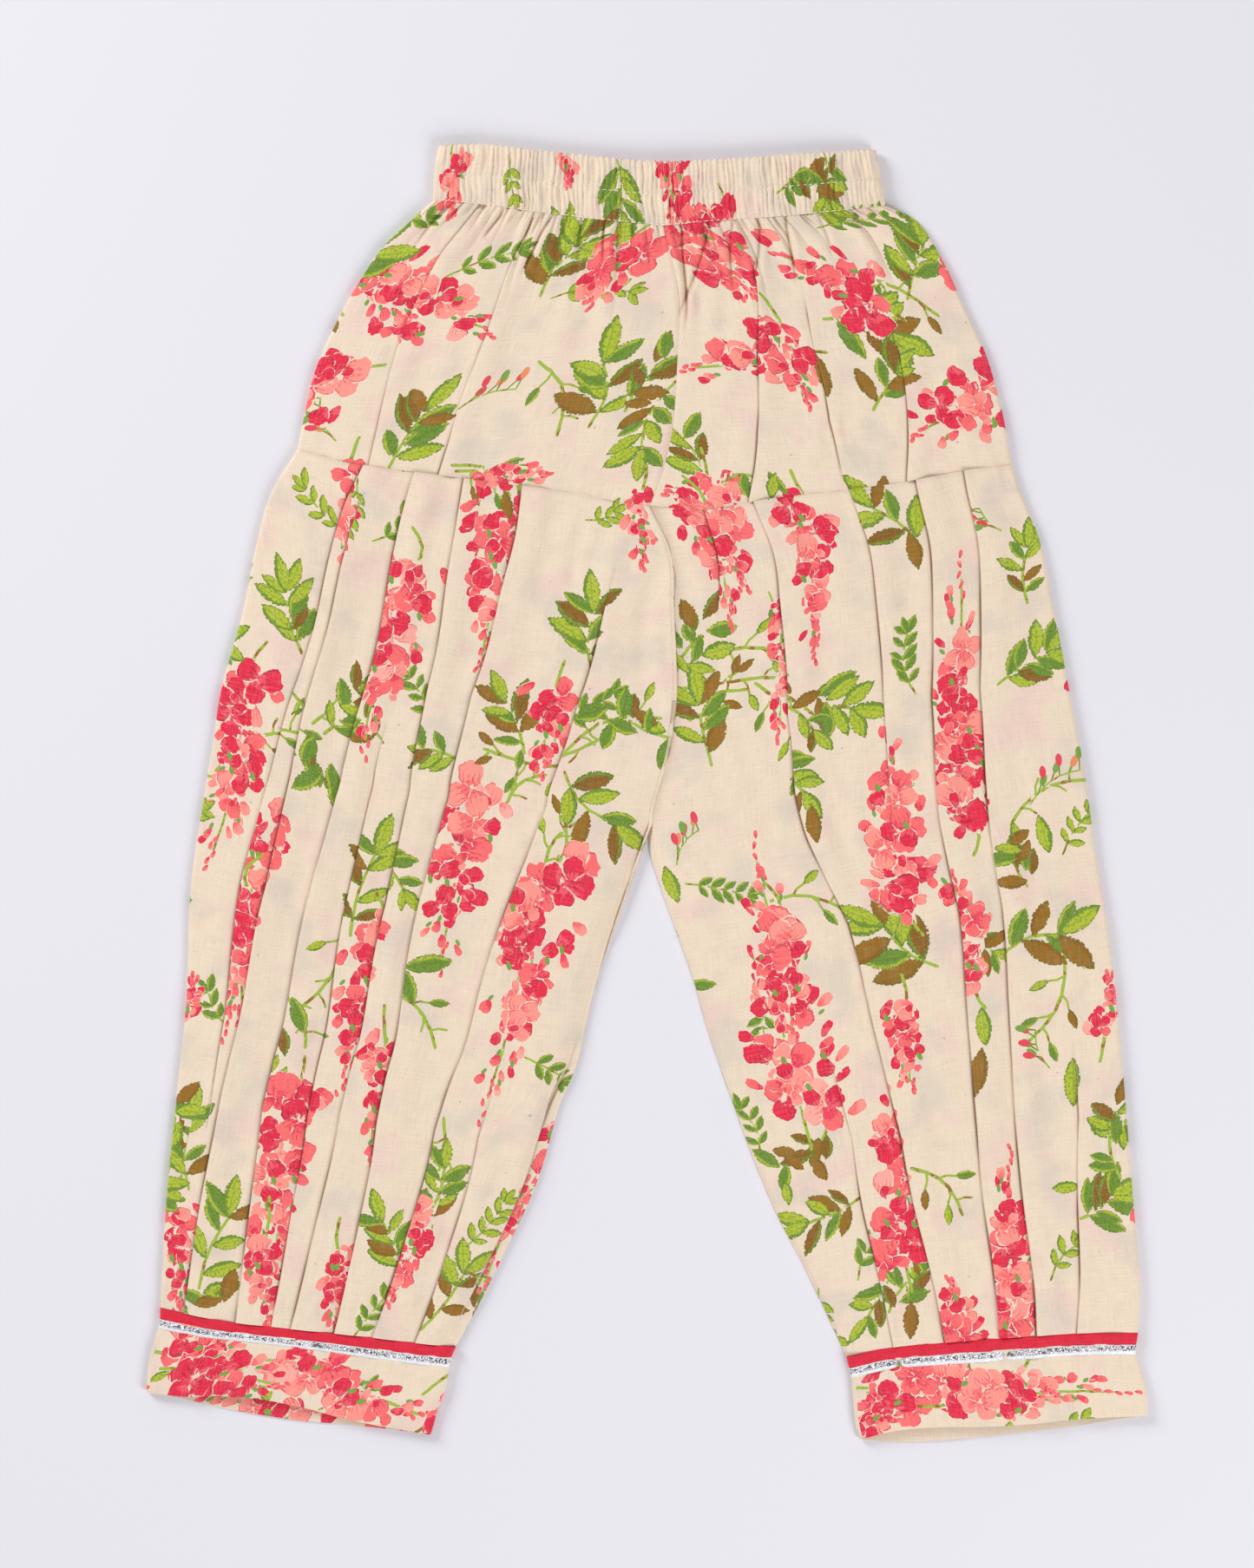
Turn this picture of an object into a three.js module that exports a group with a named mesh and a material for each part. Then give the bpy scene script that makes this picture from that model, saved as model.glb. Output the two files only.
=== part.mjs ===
// A small child's patiala salwar, laid flat with its front up: a gathered waist casing, a fitted yoke in
// two halves, two wide pleated legs, and a cuff on each leg under a piping strip and a metallic ribbon.
// Millimetres. +X to the right, +Y towards the waist, +Z up from the surface that the garment lies on.
import * as THREE from "three";

// Cloth and seams
const CLOTH = 1.2; // wall of one layer of cloth
const CASING_WALL = 2.2; // turned-down cloth with elastic inside
const RIBBON_WALL = 0.6;
const SEAM = 0.3; // space between neighbouring pieces

// Heights of the front's upper surface over the floor
const CASING_HEIGHT = 8.0;
const YOKE_TOP_HEIGHT = 6.6;
const HIP_HEIGHT = 5.2; // at the seam from yoke to leg
const LEG_HEIGHT = 5.4; // along the middle of a leg
const FOLD_HEIGHT = 3.8; // at the outer side folds
const CUFF_HEIGHT = 4.4;
const LAPPED_HEIGHT = 2 * CLOTH + SEAM; // where the front lies on the back at the inner leg

// Waist casing
const GATHERS = 94; // ridges across the front of the casing
const GATHER_RISE = 0.7;
const CHANNEL_PUFF = 0.7; // rise of the two elastic channels between the stitch rows
const CASING_ROWS = 5;

// Yoke, legs and cuffs
const YOKE_GATHERS = 12; // short gathers under the casing, in each half of the yoke
const YOKE_GATHER_END = 0.22; // share of the yoke's height that they reach down
const PLEAT_RUN = 2.6; // width of the step at a pleat's edge
const PLEAT_LAP = 15; // width over which a pleat falls back
const INSEAM_DROP = 12; // width over which the front comes down onto the back at the inner leg
const YOKE_ROWS = 8;
const YOKE_COLUMNS = 36;
const LEG_ROWS = 16;
const BACK_COLUMNS = 8; // flats across the back of a leg or of half the yoke
const CUFF_COLUMNS = 14;
const PIPING = 6; // height of the piping strip
const RIBBON = 4.8; // height of the ribbon
const FOLD_STEPS = 4; // flats round a side fold

// Outline of the front, from left to right or from the top down. The two halves aren't alike.
const WAIST = points([
  { x: -103, y: 319.5 }, { x: -83.5, y: 320.2 }, { x: -62, y: 318 }, { x: -31.5, y: 314.5 },
  { x: 6.5, y: 311.5 }, { x: 45.5, y: 313 }, { x: 81.5, y: 315.5 }, { x: 114, y: 317.5 },
]);
const CASING_SEAM_LEFT = points([
  { x: -105.5, y: 293.5 }, { x: -81.5, y: 291 }, { x: -52, y: 287 }, { x: -28, y: 284 }, { x: 8.5, y: 280.5 },
]);
const CASING_SEAM_RIGHT = points([
  { x: 8.5, y: 280.5 }, { x: 37, y: 283 }, { x: 71, y: 285.5 }, { x: 97, y: 288 }, { x: 118.5, y: 291 },
]);
const CASING_LEFT = points([{ x: -103, y: 319.5 }, { x: -105, y: 306 }, { x: -105.5, y: 293.5 }]);
const CASING_RIGHT = points([{ x: 114, y: 317.5 }, { x: 116.5, y: 304 }, { x: 118.5, y: 291 }]);
const HIP_LEFT = points([
  { x: -105.5, y: 293.5 }, { x: -115, y: 285 }, { x: -129.5, y: 271.5 }, { x: -142, y: 253.5 },
  { x: -153.5, y: 233 }, { x: -164.5, y: 207.5 }, { x: -169.5, y: 186 }, { x: -172.5, y: 170.5 },
]);
const HIP_RIGHT = points([
  { x: 118.5, y: 291 }, { x: 133.5, y: 284 }, { x: 146, y: 265.5 }, { x: 157.5, y: 241 },
  { x: 168, y: 218 }, { x: 176.5, y: 188 }, { x: 181, y: 163 },
]);
const YOKE_SEAM_LEFT = points([
  { x: -172.5, y: 170.5 }, { x: -147, y: 164 }, { x: -128.5, y: 161 }, { x: -105.5, y: 158 },
  { x: -71.5, y: 153.5 }, { x: -36, y: 149 }, { x: -14.5, y: 144.5 }, { x: 1.5, y: 142.5 },
]);
const YOKE_SEAM_RIGHT = points([
  { x: 1.5, y: 142.5 }, { x: 29, y: 140.5 }, { x: 44, y: 143 }, { x: 68.5, y: 147 },
  { x: 100, y: 150.5 }, { x: 132, y: 155 }, { x: 157.5, y: 160 }, { x: 181, y: 163 },
]);
const FRONT_SEAM = points([
  { x: 8.5, y: 280.5 }, { x: 13, y: 262 }, { x: 16, y: 240 }, { x: 15, y: 212.5 }, { x: 12.5, y: 179.5 },
  { x: 8, y: 160 }, { x: 1.5, y: 142.5 },
]);
const BACK_SEAM = points([{ x: 8.5, y: 280.5 }, { x: 5, y: 212 }, { x: 1.5, y: 142.5 }]);
const OUTER_LEFT = points([
  { x: -172.5, y: 170.5 }, { x: -185.5, y: 149 }, { x: -192.5, y: 125 }, { x: -199.5, y: 90.5 },
  { x: -210.5, y: 50.5 }, { x: -214, y: 28 }, { x: -219.5, y: -6 }, { x: -225.5, y: -48.5 },
  { x: -227.5, y: -101.5 }, { x: -232.5, y: -151 }, { x: -237, y: -195.5 }, { x: -240.5, y: -254 },
]);
const OUTER_RIGHT = points([
  { x: 181, y: 163 }, { x: 185, y: 150.5 }, { x: 195, y: 124.5 }, { x: 202.5, y: 88 }, { x: 209.5, y: 51 },
  { x: 216.5, y: 14 }, { x: 222.5, y: -29 }, { x: 229, y: -69 }, { x: 233.5, y: -109.5 },
  { x: 236.5, y: -143 }, { x: 241, y: -200 }, { x: 244.5, y: -242.5 }, { x: 243.5, y: -266.5 },
]);
const RISE_FRONT = [
  { x: 1.5, y: 142.5 }, { x: 11, y: 117 }, { x: 12, y: 91 }, { x: 13, y: 50.5 }, { x: 9.5, y: 21 },
  { x: 2, y: -7 }, { x: 1.5, y: -15 },
];
const RISE_BACK = [
  { x: 1.5, y: 142.5 }, { x: 1.5, y: 117 }, { x: 1.5, y: 91 }, { x: 1.5, y: 50.5 }, { x: 1.5, y: 21 },
  { x: 1.5, y: -7 }, { x: 1.5, y: -15 },
];
const INSEAM_LEFT = [
  { x: -1.5, y: -23.5 }, { x: -7, y: -40 }, { x: -19.5, y: -76.5 }, { x: -26.5, y: -100.5 },
  { x: -34.5, y: -134.5 }, { x: -42, y: -152 }, { x: -54, y: -192 }, { x: -69, y: -225 },
  { x: -84, y: -255 }, { x: -94, y: -273.5 },
];
const INSEAM_RIGHT = [
  { x: 2, y: -29 }, { x: 8, y: -48.5 }, { x: 13, y: -62.5 }, { x: 23, y: -90.5 }, { x: 31, y: -118 },
  { x: 40, y: -144 }, { x: 51.5, y: -176 }, { x: 65, y: -208.5 }, { x: 78.5, y: -234.5 },
  { x: 90, y: -258.5 }, { x: 99, y: -278.5 },
];
const CUFF_TOP_LEFT = points([
  { x: -240.5, y: -254 }, { x: -212, y: -260 }, { x: -174.5, y: -264.5 }, { x: -141.5, y: -268 },
  { x: -108.5, y: -272 }, { x: -94, y: -273.5 },
]);
const CUFF_TOP_RIGHT = points([
  { x: 99, y: -278.5 }, { x: 118.5, y: -274 }, { x: 144.5, y: -271.5 }, { x: 191.5, y: -268 },
  { x: 218, y: -266.5 }, { x: 243.5, y: -266.5 },
]);
const CUFF_LEFT_OUTER = points([
  { x: -240.5, y: -254 }, { x: -241, y: -263 }, { x: -245.5, y: -278 }, { x: -247.5, y: -296 },
]);
const CUFF_LEFT_INNER = points([
  { x: -94, y: -273.5 }, { x: -96.5, y: -279.5 }, { x: -99, y: -293 }, { x: -102.5, y: -303 },
  { x: -106.5, y: -317 },
]);
const CUFF_RIGHT_INNER = points([
  { x: 99, y: -278.5 }, { x: 101.5, y: -289.5 }, { x: 103.5, y: -311.5 }, { x: 105.5, y: -319.5 },
]);
const CUFF_RIGHT_OUTER = points([
  { x: 243.5, y: -266.5 }, { x: 242.5, y: -276.5 }, { x: 245, y: -285 }, { x: 247.6, y: -295.5 },
  { x: 248, y: -307.5 },
]);
// The front's hem lies a little higher than the back's.
const HEM_LEFT_FRONT = points([
  { x: -247.5, y: -296 }, { x: -228.5, y: -298 }, { x: -208.5, y: -297.5 }, { x: -186.5, y: -300 },
  { x: -167.5, y: -304 }, { x: -146.5, y: -309.5 }, { x: -106.5, y: -317 },
]);
const HEM_LEFT_BACK = points([
  { x: -247.5, y: -296 }, { x: -233.5, y: -298.7 }, { x: -207.5, y: -304.5 }, { x: -174, y: -310 },
  { x: -146.5, y: -312.5 }, { x: -106.5, y: -317 },
]);
const HEM_RIGHT_FRONT = points([
  { x: 105.5, y: -319.5 }, { x: 120.5, y: -315.5 }, { x: 137.5, y: -313.5 }, { x: 178, y: -312.5 },
  { x: 216, y: -309 }, { x: 248, y: -307.5 },
]);
const HEM_RIGHT_BACK = points([
  { x: 105.5, y: -319.5 }, { x: 126.5, y: -321 }, { x: 165.5, y: -318.5 }, { x: 216, y: -312.5 },
  { x: 248, y: -307.5 },
]);

// Pleats and folds. Each lies over the cloth on its left. across: its place from the left edge (0) to the
// right edge (1) of the piece, at five even heights from top to bottom; from, to: the share of the
// height between which it stands; depth: its rise.
const PLEATS_LEFT = [
  { from: 0, to: 0.74, depth: 1.0, across: [0.191, 0.163, 0.118, 0.094, 0.06] },
  { from: 0.06, to: 1, depth: 1.4, across: [0.225, 0.195, 0.178, 0.12, 0.083] },
  { from: 0, to: 1, depth: 1.5, across: [0.336, 0.315, 0.283, 0.234, 0.259] },
  { from: 0.33, to: 1, depth: 0.8, across: [0.4, 0.375, 0.372, 0.356, 0.379] },
  { from: 0, to: 1, depth: 1.3, across: [0.475, 0.451, 0.464, 0.441, 0.445] },
  { from: 0, to: 1, depth: 1.5, across: [0.62, 0.551, 0.54, 0.54, 0.59] },
  { from: 0.12, to: 1, depth: 1.2, across: [0.85, 0.788, 0.741, 0.697, 0.72] },
  { from: 0.68, to: 1, depth: 1.1, across: [0.93, 0.88, 0.84, 0.813, 0.863] },
];
const PLEATS_RIGHT = [
  { from: 0, to: 0.13, depth: 0.9, across: [0.15, 0.12, 0.1, 0.09, 0.08] },
  { from: 0.68, to: 1, depth: 0.9, across: [0.2, 0.22, 0.27, 0.27, 0.164] },
  { from: 0, to: 1, depth: 1.5, across: [0.286, 0.298, 0.398, 0.397, 0.34] },
  { from: 0, to: 0.36, depth: 1.1, across: [0.551, 0.538, 0.57, 0.52, 0.44] },
  { from: 0, to: 1, depth: 1.4, across: [0.732, 0.659, 0.659, 0.6, 0.525] },
  { from: 0, to: 1, depth: 1.4, across: [0.866, 0.781, 0.761, 0.703, 0.652] },
  { from: 0.7, to: 1, depth: 0.9, across: [0.94, 0.92, 0.9, 0.871, 0.79] },
];
const FOLDS_LEFT = [
  { from: 0, to: 1, depth: 0.9, across: [0.207, 0.195, 0.194, 0.206, 0.206] },
  { from: 0, to: 1, depth: 1.0, across: [0.45, 0.433, 0.432, 0.413, 0.403] },
  { from: 0, to: 0.35, depth: 0.7, across: [0.55, 0.51, 0.48, 0.46, 0.45] },
  { from: 0, to: 0.25, depth: 0.5, across: [0.702, 0.729, 0.74, 0.75, 0.76] },
];
const FOLDS_RIGHT = [
  { from: 0.18, to: 1, depth: 0.9, across: [0.31, 0.302, 0.275, 0.267, 0.273] },
  { from: 0.3, to: 0.95, depth: 0.7, across: [0.45, 0.461, 0.467, 0.486, 0.537] },
  { from: 0.5, to: 1, depth: 0.8, across: [0.767, 0.753, 0.738, 0.723, 0.708] },
];

const CREAM = cloth(0xead8c1, 0.85, 0);
const RED = cloth(0xec2e45, 0.7, 0);
const SILVER = cloth(0xd3d2d7, 0.35, 0.8);

function cloth(color, roughness, metalness) {
  return new THREE.MeshStandardMaterial({ color, roughness, metalness });
}

// A smooth line through the rows of a table.
function points(rows) {
  const line = new THREE.CatmullRomCurve3(rows.map(({ x, y }) => new THREE.Vector3(x, y, 0)));
  line.arcLengthDivisions = 400;
  return line;
}

// Two lines, one after the other, as one line.
function joined(first, second) {
  const share = first.getLength() / (first.getLength() + second.getLength());
  const getPointAt = (t) =>
    t < share ? first.getPointAt(t / share) : second.getPointAt((t - share) / (1 - share));
  return { points: [...first.points, ...second.points], getPointAt };
}

// A panel stretched over four edges: a place from (0, 0), top left, to (1, 1), bottom right.
function panel(top, bottom, left, right) {
  const corner = (line, end) => line.points[end ? line.points.length - 1 : 0];
  return (s, v) =>
    new THREE.Vector3()
      .addScaledVector(top.getPointAt(s), 1 - v)
      .addScaledVector(bottom.getPointAt(s), v)
      .addScaledVector(left.getPointAt(v), 1 - s)
      .addScaledVector(right.getPointAt(v), s)
      .addScaledVector(corner(top, 0), -(1 - s) * (1 - v))
      .addScaledVector(corner(top, 1), -s * (1 - v))
      .addScaledVector(corner(bottom, 0), -(1 - s) * v)
      .addScaledVector(corner(bottom, 1), -s * v);
}

// The panel drawn in by half a seam at its top and bottom, and at its left or right edge if that is a seam.
function inFromSeams(place, seamSide) {
  return (s, v) => {
    const p = place(s, v);
    p.y += (v - 0.5) * SEAM;
    if (seamSide === "right") p.x -= (s * SEAM) / 2;
    if (seamSide === "left") p.x += ((1 - s) * SEAM) / 2;
    return p;
  };
}

function smooth(value, low, high) {
  return THREE.MathUtils.smoothstep(value, low, high);
}

// A pleat's place across the piece at height v, from the five places in its row.
function pleatAt(pleat, v) {
  const reach = v * (pleat.across.length - 1);
  const step = Math.min(Math.floor(reach), pleat.across.length - 2);
  return THREE.MathUtils.lerp(pleat.across[step], pleat.across[step + 1], reach - step);
}

// The rise of all pleats at a place: a step up at each pleat's edge, and a slow fall to its right.
function pleatRise(pleats, s, v, width) {
  const fade = 0.07;
  let rise = 0;
  for (const pleat of pleats) {
    const past = (s - pleatAt(pleat, v)) * width;
    const up = smooth(past, -PLEAT_RUN / 2, PLEAT_RUN / 2);
    const down = 1 - THREE.MathUtils.clamp((past - PLEAT_RUN / 2) / PLEAT_LAP, 0, 1);
    const ends =
      (pleat.from > 0 ? smooth(v, pleat.from - fade, pleat.from + fade) : 1) *
      (pleat.to < 1 ? 1 - smooth(v, pleat.to - fade, pleat.to + fade) : 1);
    rise += pleat.depth * up * down * ends;
  }
  return rise;
}

// Columns with a foot, a crest and a middle for each pleat, so that its step stays sharp.
function pleatColumns(pleats, v, width, low, high) {
  const half = PLEAT_RUN / 2 / width;
  const lines = pleats.map((pleat) => pleatAt(pleat, v));
  const columns = [low, (low + lines[0] - half) / 2];
  lines.forEach((line, i) => {
    const next = i + 1 < lines.length ? lines[i + 1] - half : high;
    columns.push(line - half, line + half, (line + half + next) / 2);
  });
  const dropStart = high - (INSEAM_DROP / width) * 0.25;
  columns.push(Math.max(dropStart, columns.at(-1) + half / 4), high);
  return columns;
}

function evenColumns(count, low, high) {
  return Array.from({ length: count + 1 }, (_, i) => THREE.MathUtils.lerp(low, high, i / count));
}

// One loop of a flattened tube at height v, as pairs of an outer and an inner point: along the front,
// round the side fold and back along the back. folds names the sides that are folds, left or right.
function loopAt({ front, back, height, columns, folds, wall, inset, backColumns }, v) {
  const width = front(0, v).distanceTo(front(1, v));
  const depth = inset ? inset(v) : 0;
  const radius = (side) => height(side, v, width) / 2;
  const low = folds.includes("left") ? radius(0) / width : 0;
  const high = folds.includes("right") ? 1 - radius(1) / width : 1;
  const across = columns(v, width, low, high);
  const frontSide = across.map((s) => {
    const p = front(s, v);
    const top = height(s, v, width) - depth;
    return { outer: p.clone().setZ(top), inner: p.clone().setZ(top - wall) };
  });
  const backSide = evenColumns(backColumns ?? BACK_COLUMNS, low, high).map((s) => {
    const p = back(s, v);
    return { outer: p.clone().setZ(depth), inner: p.clone().setZ(depth + wall) };
  });
  const foldSide = (side, fromTop) => {
    const edge = front(side, v);
    const inwards = front(side ? 0.98 : 0.02, v).sub(edge).normalize();
    const r = radius(side);
    const bend = [];
    for (let i = 1; i < FOLD_STEPS; i++) {
      const angle = (Math.PI * i) / FOLD_STEPS;
      const on = (reach) =>
        edge
          .clone()
          .addScaledVector(inwards, r - reach * Math.sin(angle))
          .setZ(r + reach * Math.cos(angle));
      bend.push({ outer: on(r - depth), inner: on(r - depth - wall) });
    }
    return fromTop ? bend : bend.reverse();
  };
  if (folds.length === 2)
    return [...frontSide, ...foldSide(1, true), ...backSide.reverse(), ...foldSide(0, false)];
  if (folds[0] === "right") return [...frontSide, ...foldSide(1, true), ...backSide.reverse()];
  return [...frontSide.reverse(), ...foldSide(0, true), ...backSide];
}

// The closed wall between the outer and inner points of all loops.
function wallMesh(name, material, piece, rows) {
  const ring = piece.folds.length === 2;
  const loops = rows.map((v) => loopAt(piece, v));
  const count = loops[0].length;
  const position = [];
  const index = [];
  for (const side of ["outer", "inner"])
    for (const loop of loops) for (const pair of loop) position.push(...pair[side].toArray());
  const at = (side, row, column) => (side * loops.length + row) * count + (column % count);
  const quad = (a, b, c, d) => index.push(a, b, c, a, c, d);
  const last = loops.length - 1;
  for (let column = 0; column < (ring ? count : count - 1); column++) {
    for (let row = 0; row < last; row++) {
      quad(at(0, row, column), at(0, row, column + 1), at(0, row + 1, column + 1), at(0, row + 1, column));
      quad(at(1, row, column), at(1, row + 1, column), at(1, row + 1, column + 1), at(1, row, column + 1));
    }
    quad(at(0, 0, column), at(1, 0, column), at(1, 0, column + 1), at(0, 0, column + 1));
    quad(at(0, last, column), at(0, last, column + 1), at(1, last, column + 1), at(1, last, column));
  }
  if (!ring)
    for (let row = 0; row < last; row++) {
      quad(at(0, row, 0), at(0, row + 1, 0), at(1, row + 1, 0), at(1, row, 0));
      const end = count - 1;
      quad(at(0, row, end), at(1, row, end), at(1, row + 1, end), at(0, row + 1, end));
    }
  const geometry = new THREE.BufferGeometry();
  geometry.setAttribute("position", new THREE.Float32BufferAttribute(position, 3));
  geometry.setIndex(volumeOf(position, index) < 0 ? index.toReversed() : index);
  geometry.computeVertexNormals();
  const mesh = new THREE.Mesh(geometry, material);
  mesh.name = name;
  return mesh;
}

// Six times the volume inside the triangles, which is negative if they face inwards.
function volumeOf(position, index) {
  const vertex = (i) => new THREE.Vector3().fromArray(position, 3 * index[i]);
  let volume = 0;
  for (let i = 0; i < index.length; i += 3)
    volume += vertex(i).dot(vertex(i + 1).cross(vertex(i + 2)));
  return volume;
}

// The waist casing: cloth turned down over elastic, in two channels, gathered all along the front.
function casing() {
  const place = panel(WAIST, joined(CASING_SEAM_LEFT, CASING_SEAM_RIGHT), CASING_LEFT, CASING_RIGHT);
  const flat = inFromSeams(place);
  const gather = (s) => {
    const ridge = Math.round(s * 2 * GATHERS);
    const uneven = 0.75 + 0.25 * Math.sin(ridge * 1.7) * Math.sin(ridge * 0.31);
    return ridge % 2 ? GATHER_RISE * uneven : 0;
  };
  const height = (s, v) =>
    CASING_HEIGHT - 2.6 * Math.pow(Math.abs(2 * s - 1), 6) + CHANNEL_PUFF * Math.abs(Math.sin(2 * Math.PI * v)) +
    (s > 0 && s < 1 ? gather(s) : 0);
  return wallMesh(
    "waist_casing",
    CREAM.clone(),
    {
      front: flat,
      back: flat,
      height,
      wall: CASING_WALL,
      folds: ["left", "right"],
      backColumns: 2 * BACK_COLUMNS,
      columns: (v, width, low, high) => evenColumns(2 * GATHERS, low, high),
    },
    evenColumns(CASING_ROWS - 1, 0, 1),
  );
}

// Half of the yoke, from the front seam round the side fold to the back seam.
function yoke(side, folds, front, back) {
  const left = side === "left";
  const height = (s, v, width) => {
    const outwards = left ? 1 - s : s;
    const base = THREE.MathUtils.lerp(YOKE_TOP_HEIGHT, HIP_HEIGHT, smooth(v, 0, 0.5));
    const gather = 0.35 * Math.cos(2 * Math.PI * YOKE_GATHERS * s) * (1 - smooth(v, 0, YOKE_GATHER_END));
    const sides = (base - FOLD_HEIGHT) * Math.pow(outwards, 4);
    return base - sides + (outwards < 1 ? gather + pleatRise(folds, s, v, width) : 0);
  };
  return wallMesh(
    `yoke_${side}`,
    CREAM.clone(),
    {
      front: inFromSeams(front, left ? "right" : "left"),
      back: inFromSeams(back, left ? "right" : "left"),
      height,
      wall: CLOTH,
      folds: [side],
      columns: (v, width, low, high) => evenColumns(YOKE_COLUMNS, low, high),
    },
    evenColumns(YOKE_ROWS, 0, 1),
  );
}

// A leg: one panel from the front seam and inseam round the outer side fold to the back seam and inseam.
function leg(side, pleats, front, back, crotch) {
  const left = side === "left";
  const height = (s, v, width) => {
    const outwards = left ? 1 - s : s;
    const crown = 1 - Math.pow(outwards, 5);
    let top = THREE.MathUtils.lerp(HIP_HEIGHT, LEG_HEIGHT, smooth(v, 0, 0.2));
    top = THREE.MathUtils.lerp(top, CUFF_HEIGHT, smooth(v, 0.85, 1));
    top = FOLD_HEIGHT + (top - FOLD_HEIGHT) * crown + (outwards < 1 ? pleatRise(pleats, s, v, width) : 0);
    const fromInner = (left ? 1 - s : s) * width;
    const lapped = smooth(v, crotch - 0.06, crotch + 0.02) * (1 - smooth(fromInner, 0, INSEAM_DROP));
    return THREE.MathUtils.lerp(top, LAPPED_HEIGHT, lapped);
  };
  return wallMesh(
    `leg_${side}`,
    CREAM.clone(),
    {
      front: inFromSeams(front, left ? "right" : "left"),
      back: inFromSeams(back, left ? "right" : "left"),
      height,
      wall: CLOTH,
      folds: [side],
      columns: (v, width, low, high) => pleatColumns(pleats, v, width, low, high),
    },
    evenColumns(LEG_ROWS, 0, 1),
  );
}

// The band below a leg: a piping strip, a ribbon that lies on the cuff's upper edge, and the cuff.
function cuffSet(side, top, left, right, hemFront, hemBack) {
  const front = panel(top, hemFront, left, right);
  const back = panel(top, hemBack, left, right);
  const tall = left.getLength() / 2 + right.getLength() / 2;
  const share = (mm) => mm / tall;
  const band = (from, to, start, end) => {
    const part = (place) => (s, v) => {
      const p = place(s, THREE.MathUtils.lerp(from, to, v));
      p.y += (1 - v) * -start + v * end;
      return p;
    };
    return { front: part(front), back: part(back) };
  };
  const height = (s) => CUFF_HEIGHT - (CUFF_HEIGHT - FOLD_HEIGHT) * Math.pow(Math.abs(2 * s - 1), 6);
  const columns = (v, width, low, high) => evenColumns(CUFF_COLUMNS, low, high);
  const shared = { height, columns, folds: ["left", "right"] };
  const under = RIBBON_WALL + SEAM; // how far the cuff is drawn in below its ribbon
  const ribbonEnd = share(PIPING + RIBBON);
  const cuffStart = share(PIPING);
  const step = (ribbonEnd - cuffStart) / (1 - cuffStart);
  const half = SEAM / 2;
  return [
    wallMesh(
      `piping_${side}`,
      RED.clone(),
      { ...shared, ...band(0, cuffStart, half, half), wall: CLOTH },
      [0, 1],
    ),
    wallMesh(
      `ribbon_${side}`,
      SILVER.clone(),
      { ...shared, ...band(cuffStart, ribbonEnd, half, half), wall: RIBBON_WALL },
      [0, 1],
    ),
    wallMesh(
      `cuff_${side}`,
      CREAM.clone(),
      {
        ...shared,
        ...band(cuffStart, 1, half, 0),
        wall: CLOTH,
        inset: (v) => (v < step * 1.01 ? under : 0),
      },
      [0, step, step * 1.12, 0.4, 0.6, 0.8, 1],
    ),
  ];
}

const riseAndInseam = (rise, inseam) => points([...rise, ...inseam]);
const leftFront = riseAndInseam(RISE_FRONT, INSEAM_LEFT);
const leftBack = riseAndInseam(RISE_BACK, INSEAM_LEFT);
const rightFront = riseAndInseam(RISE_FRONT, INSEAM_RIGHT);
const rightBack = riseAndInseam(RISE_BACK, INSEAM_RIGHT);
const crotchShare = (line) => points(RISE_BACK).getLength() / line.getLength();

const salwar = new THREE.Group();
salwar.name = "patiala_salwar";
salwar.add(
  casing(),
  yoke(
    "left",
    FOLDS_LEFT,
    panel(CASING_SEAM_LEFT, YOKE_SEAM_LEFT, HIP_LEFT, FRONT_SEAM),
    panel(CASING_SEAM_LEFT, YOKE_SEAM_LEFT, HIP_LEFT, BACK_SEAM),
  ),
  yoke(
    "right",
    FOLDS_RIGHT,
    panel(CASING_SEAM_RIGHT, YOKE_SEAM_RIGHT, FRONT_SEAM, HIP_RIGHT),
    panel(CASING_SEAM_RIGHT, YOKE_SEAM_RIGHT, BACK_SEAM, HIP_RIGHT),
  ),
  leg(
    "left",
    PLEATS_LEFT,
    panel(YOKE_SEAM_LEFT, CUFF_TOP_LEFT, OUTER_LEFT, leftFront),
    panel(YOKE_SEAM_LEFT, CUFF_TOP_LEFT, OUTER_LEFT, leftBack),
    crotchShare(leftBack),
  ),
  leg(
    "right",
    PLEATS_RIGHT,
    panel(YOKE_SEAM_RIGHT, CUFF_TOP_RIGHT, rightFront, OUTER_RIGHT),
    panel(YOKE_SEAM_RIGHT, CUFF_TOP_RIGHT, rightBack, OUTER_RIGHT),
    crotchShare(rightBack),
  ),
  ...cuffSet("left", CUFF_TOP_LEFT, CUFF_LEFT_OUTER, CUFF_LEFT_INNER, HEM_LEFT_FRONT, HEM_LEFT_BACK),
  ...cuffSet("right", CUFF_TOP_RIGHT, CUFF_RIGHT_INNER, CUFF_RIGHT_OUTER, HEM_RIGHT_FRONT, HEM_RIGHT_BACK),
);

// The origin is the middle of the whole garment's box, on the surface that it lies on.
const box = new THREE.Box3().setFromObject(salwar);
const middle = box.getCenter(new THREE.Vector3());
salwar.position.set(-middle.x, -middle.y, -box.min.z);

export default salwar;
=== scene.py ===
"""A small child's patiala salwar in printed cotton, laid flat with its front up. Tables are in
millimetres, X to the right and Y towards the waist, and meshes in metres."""
import math

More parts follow.
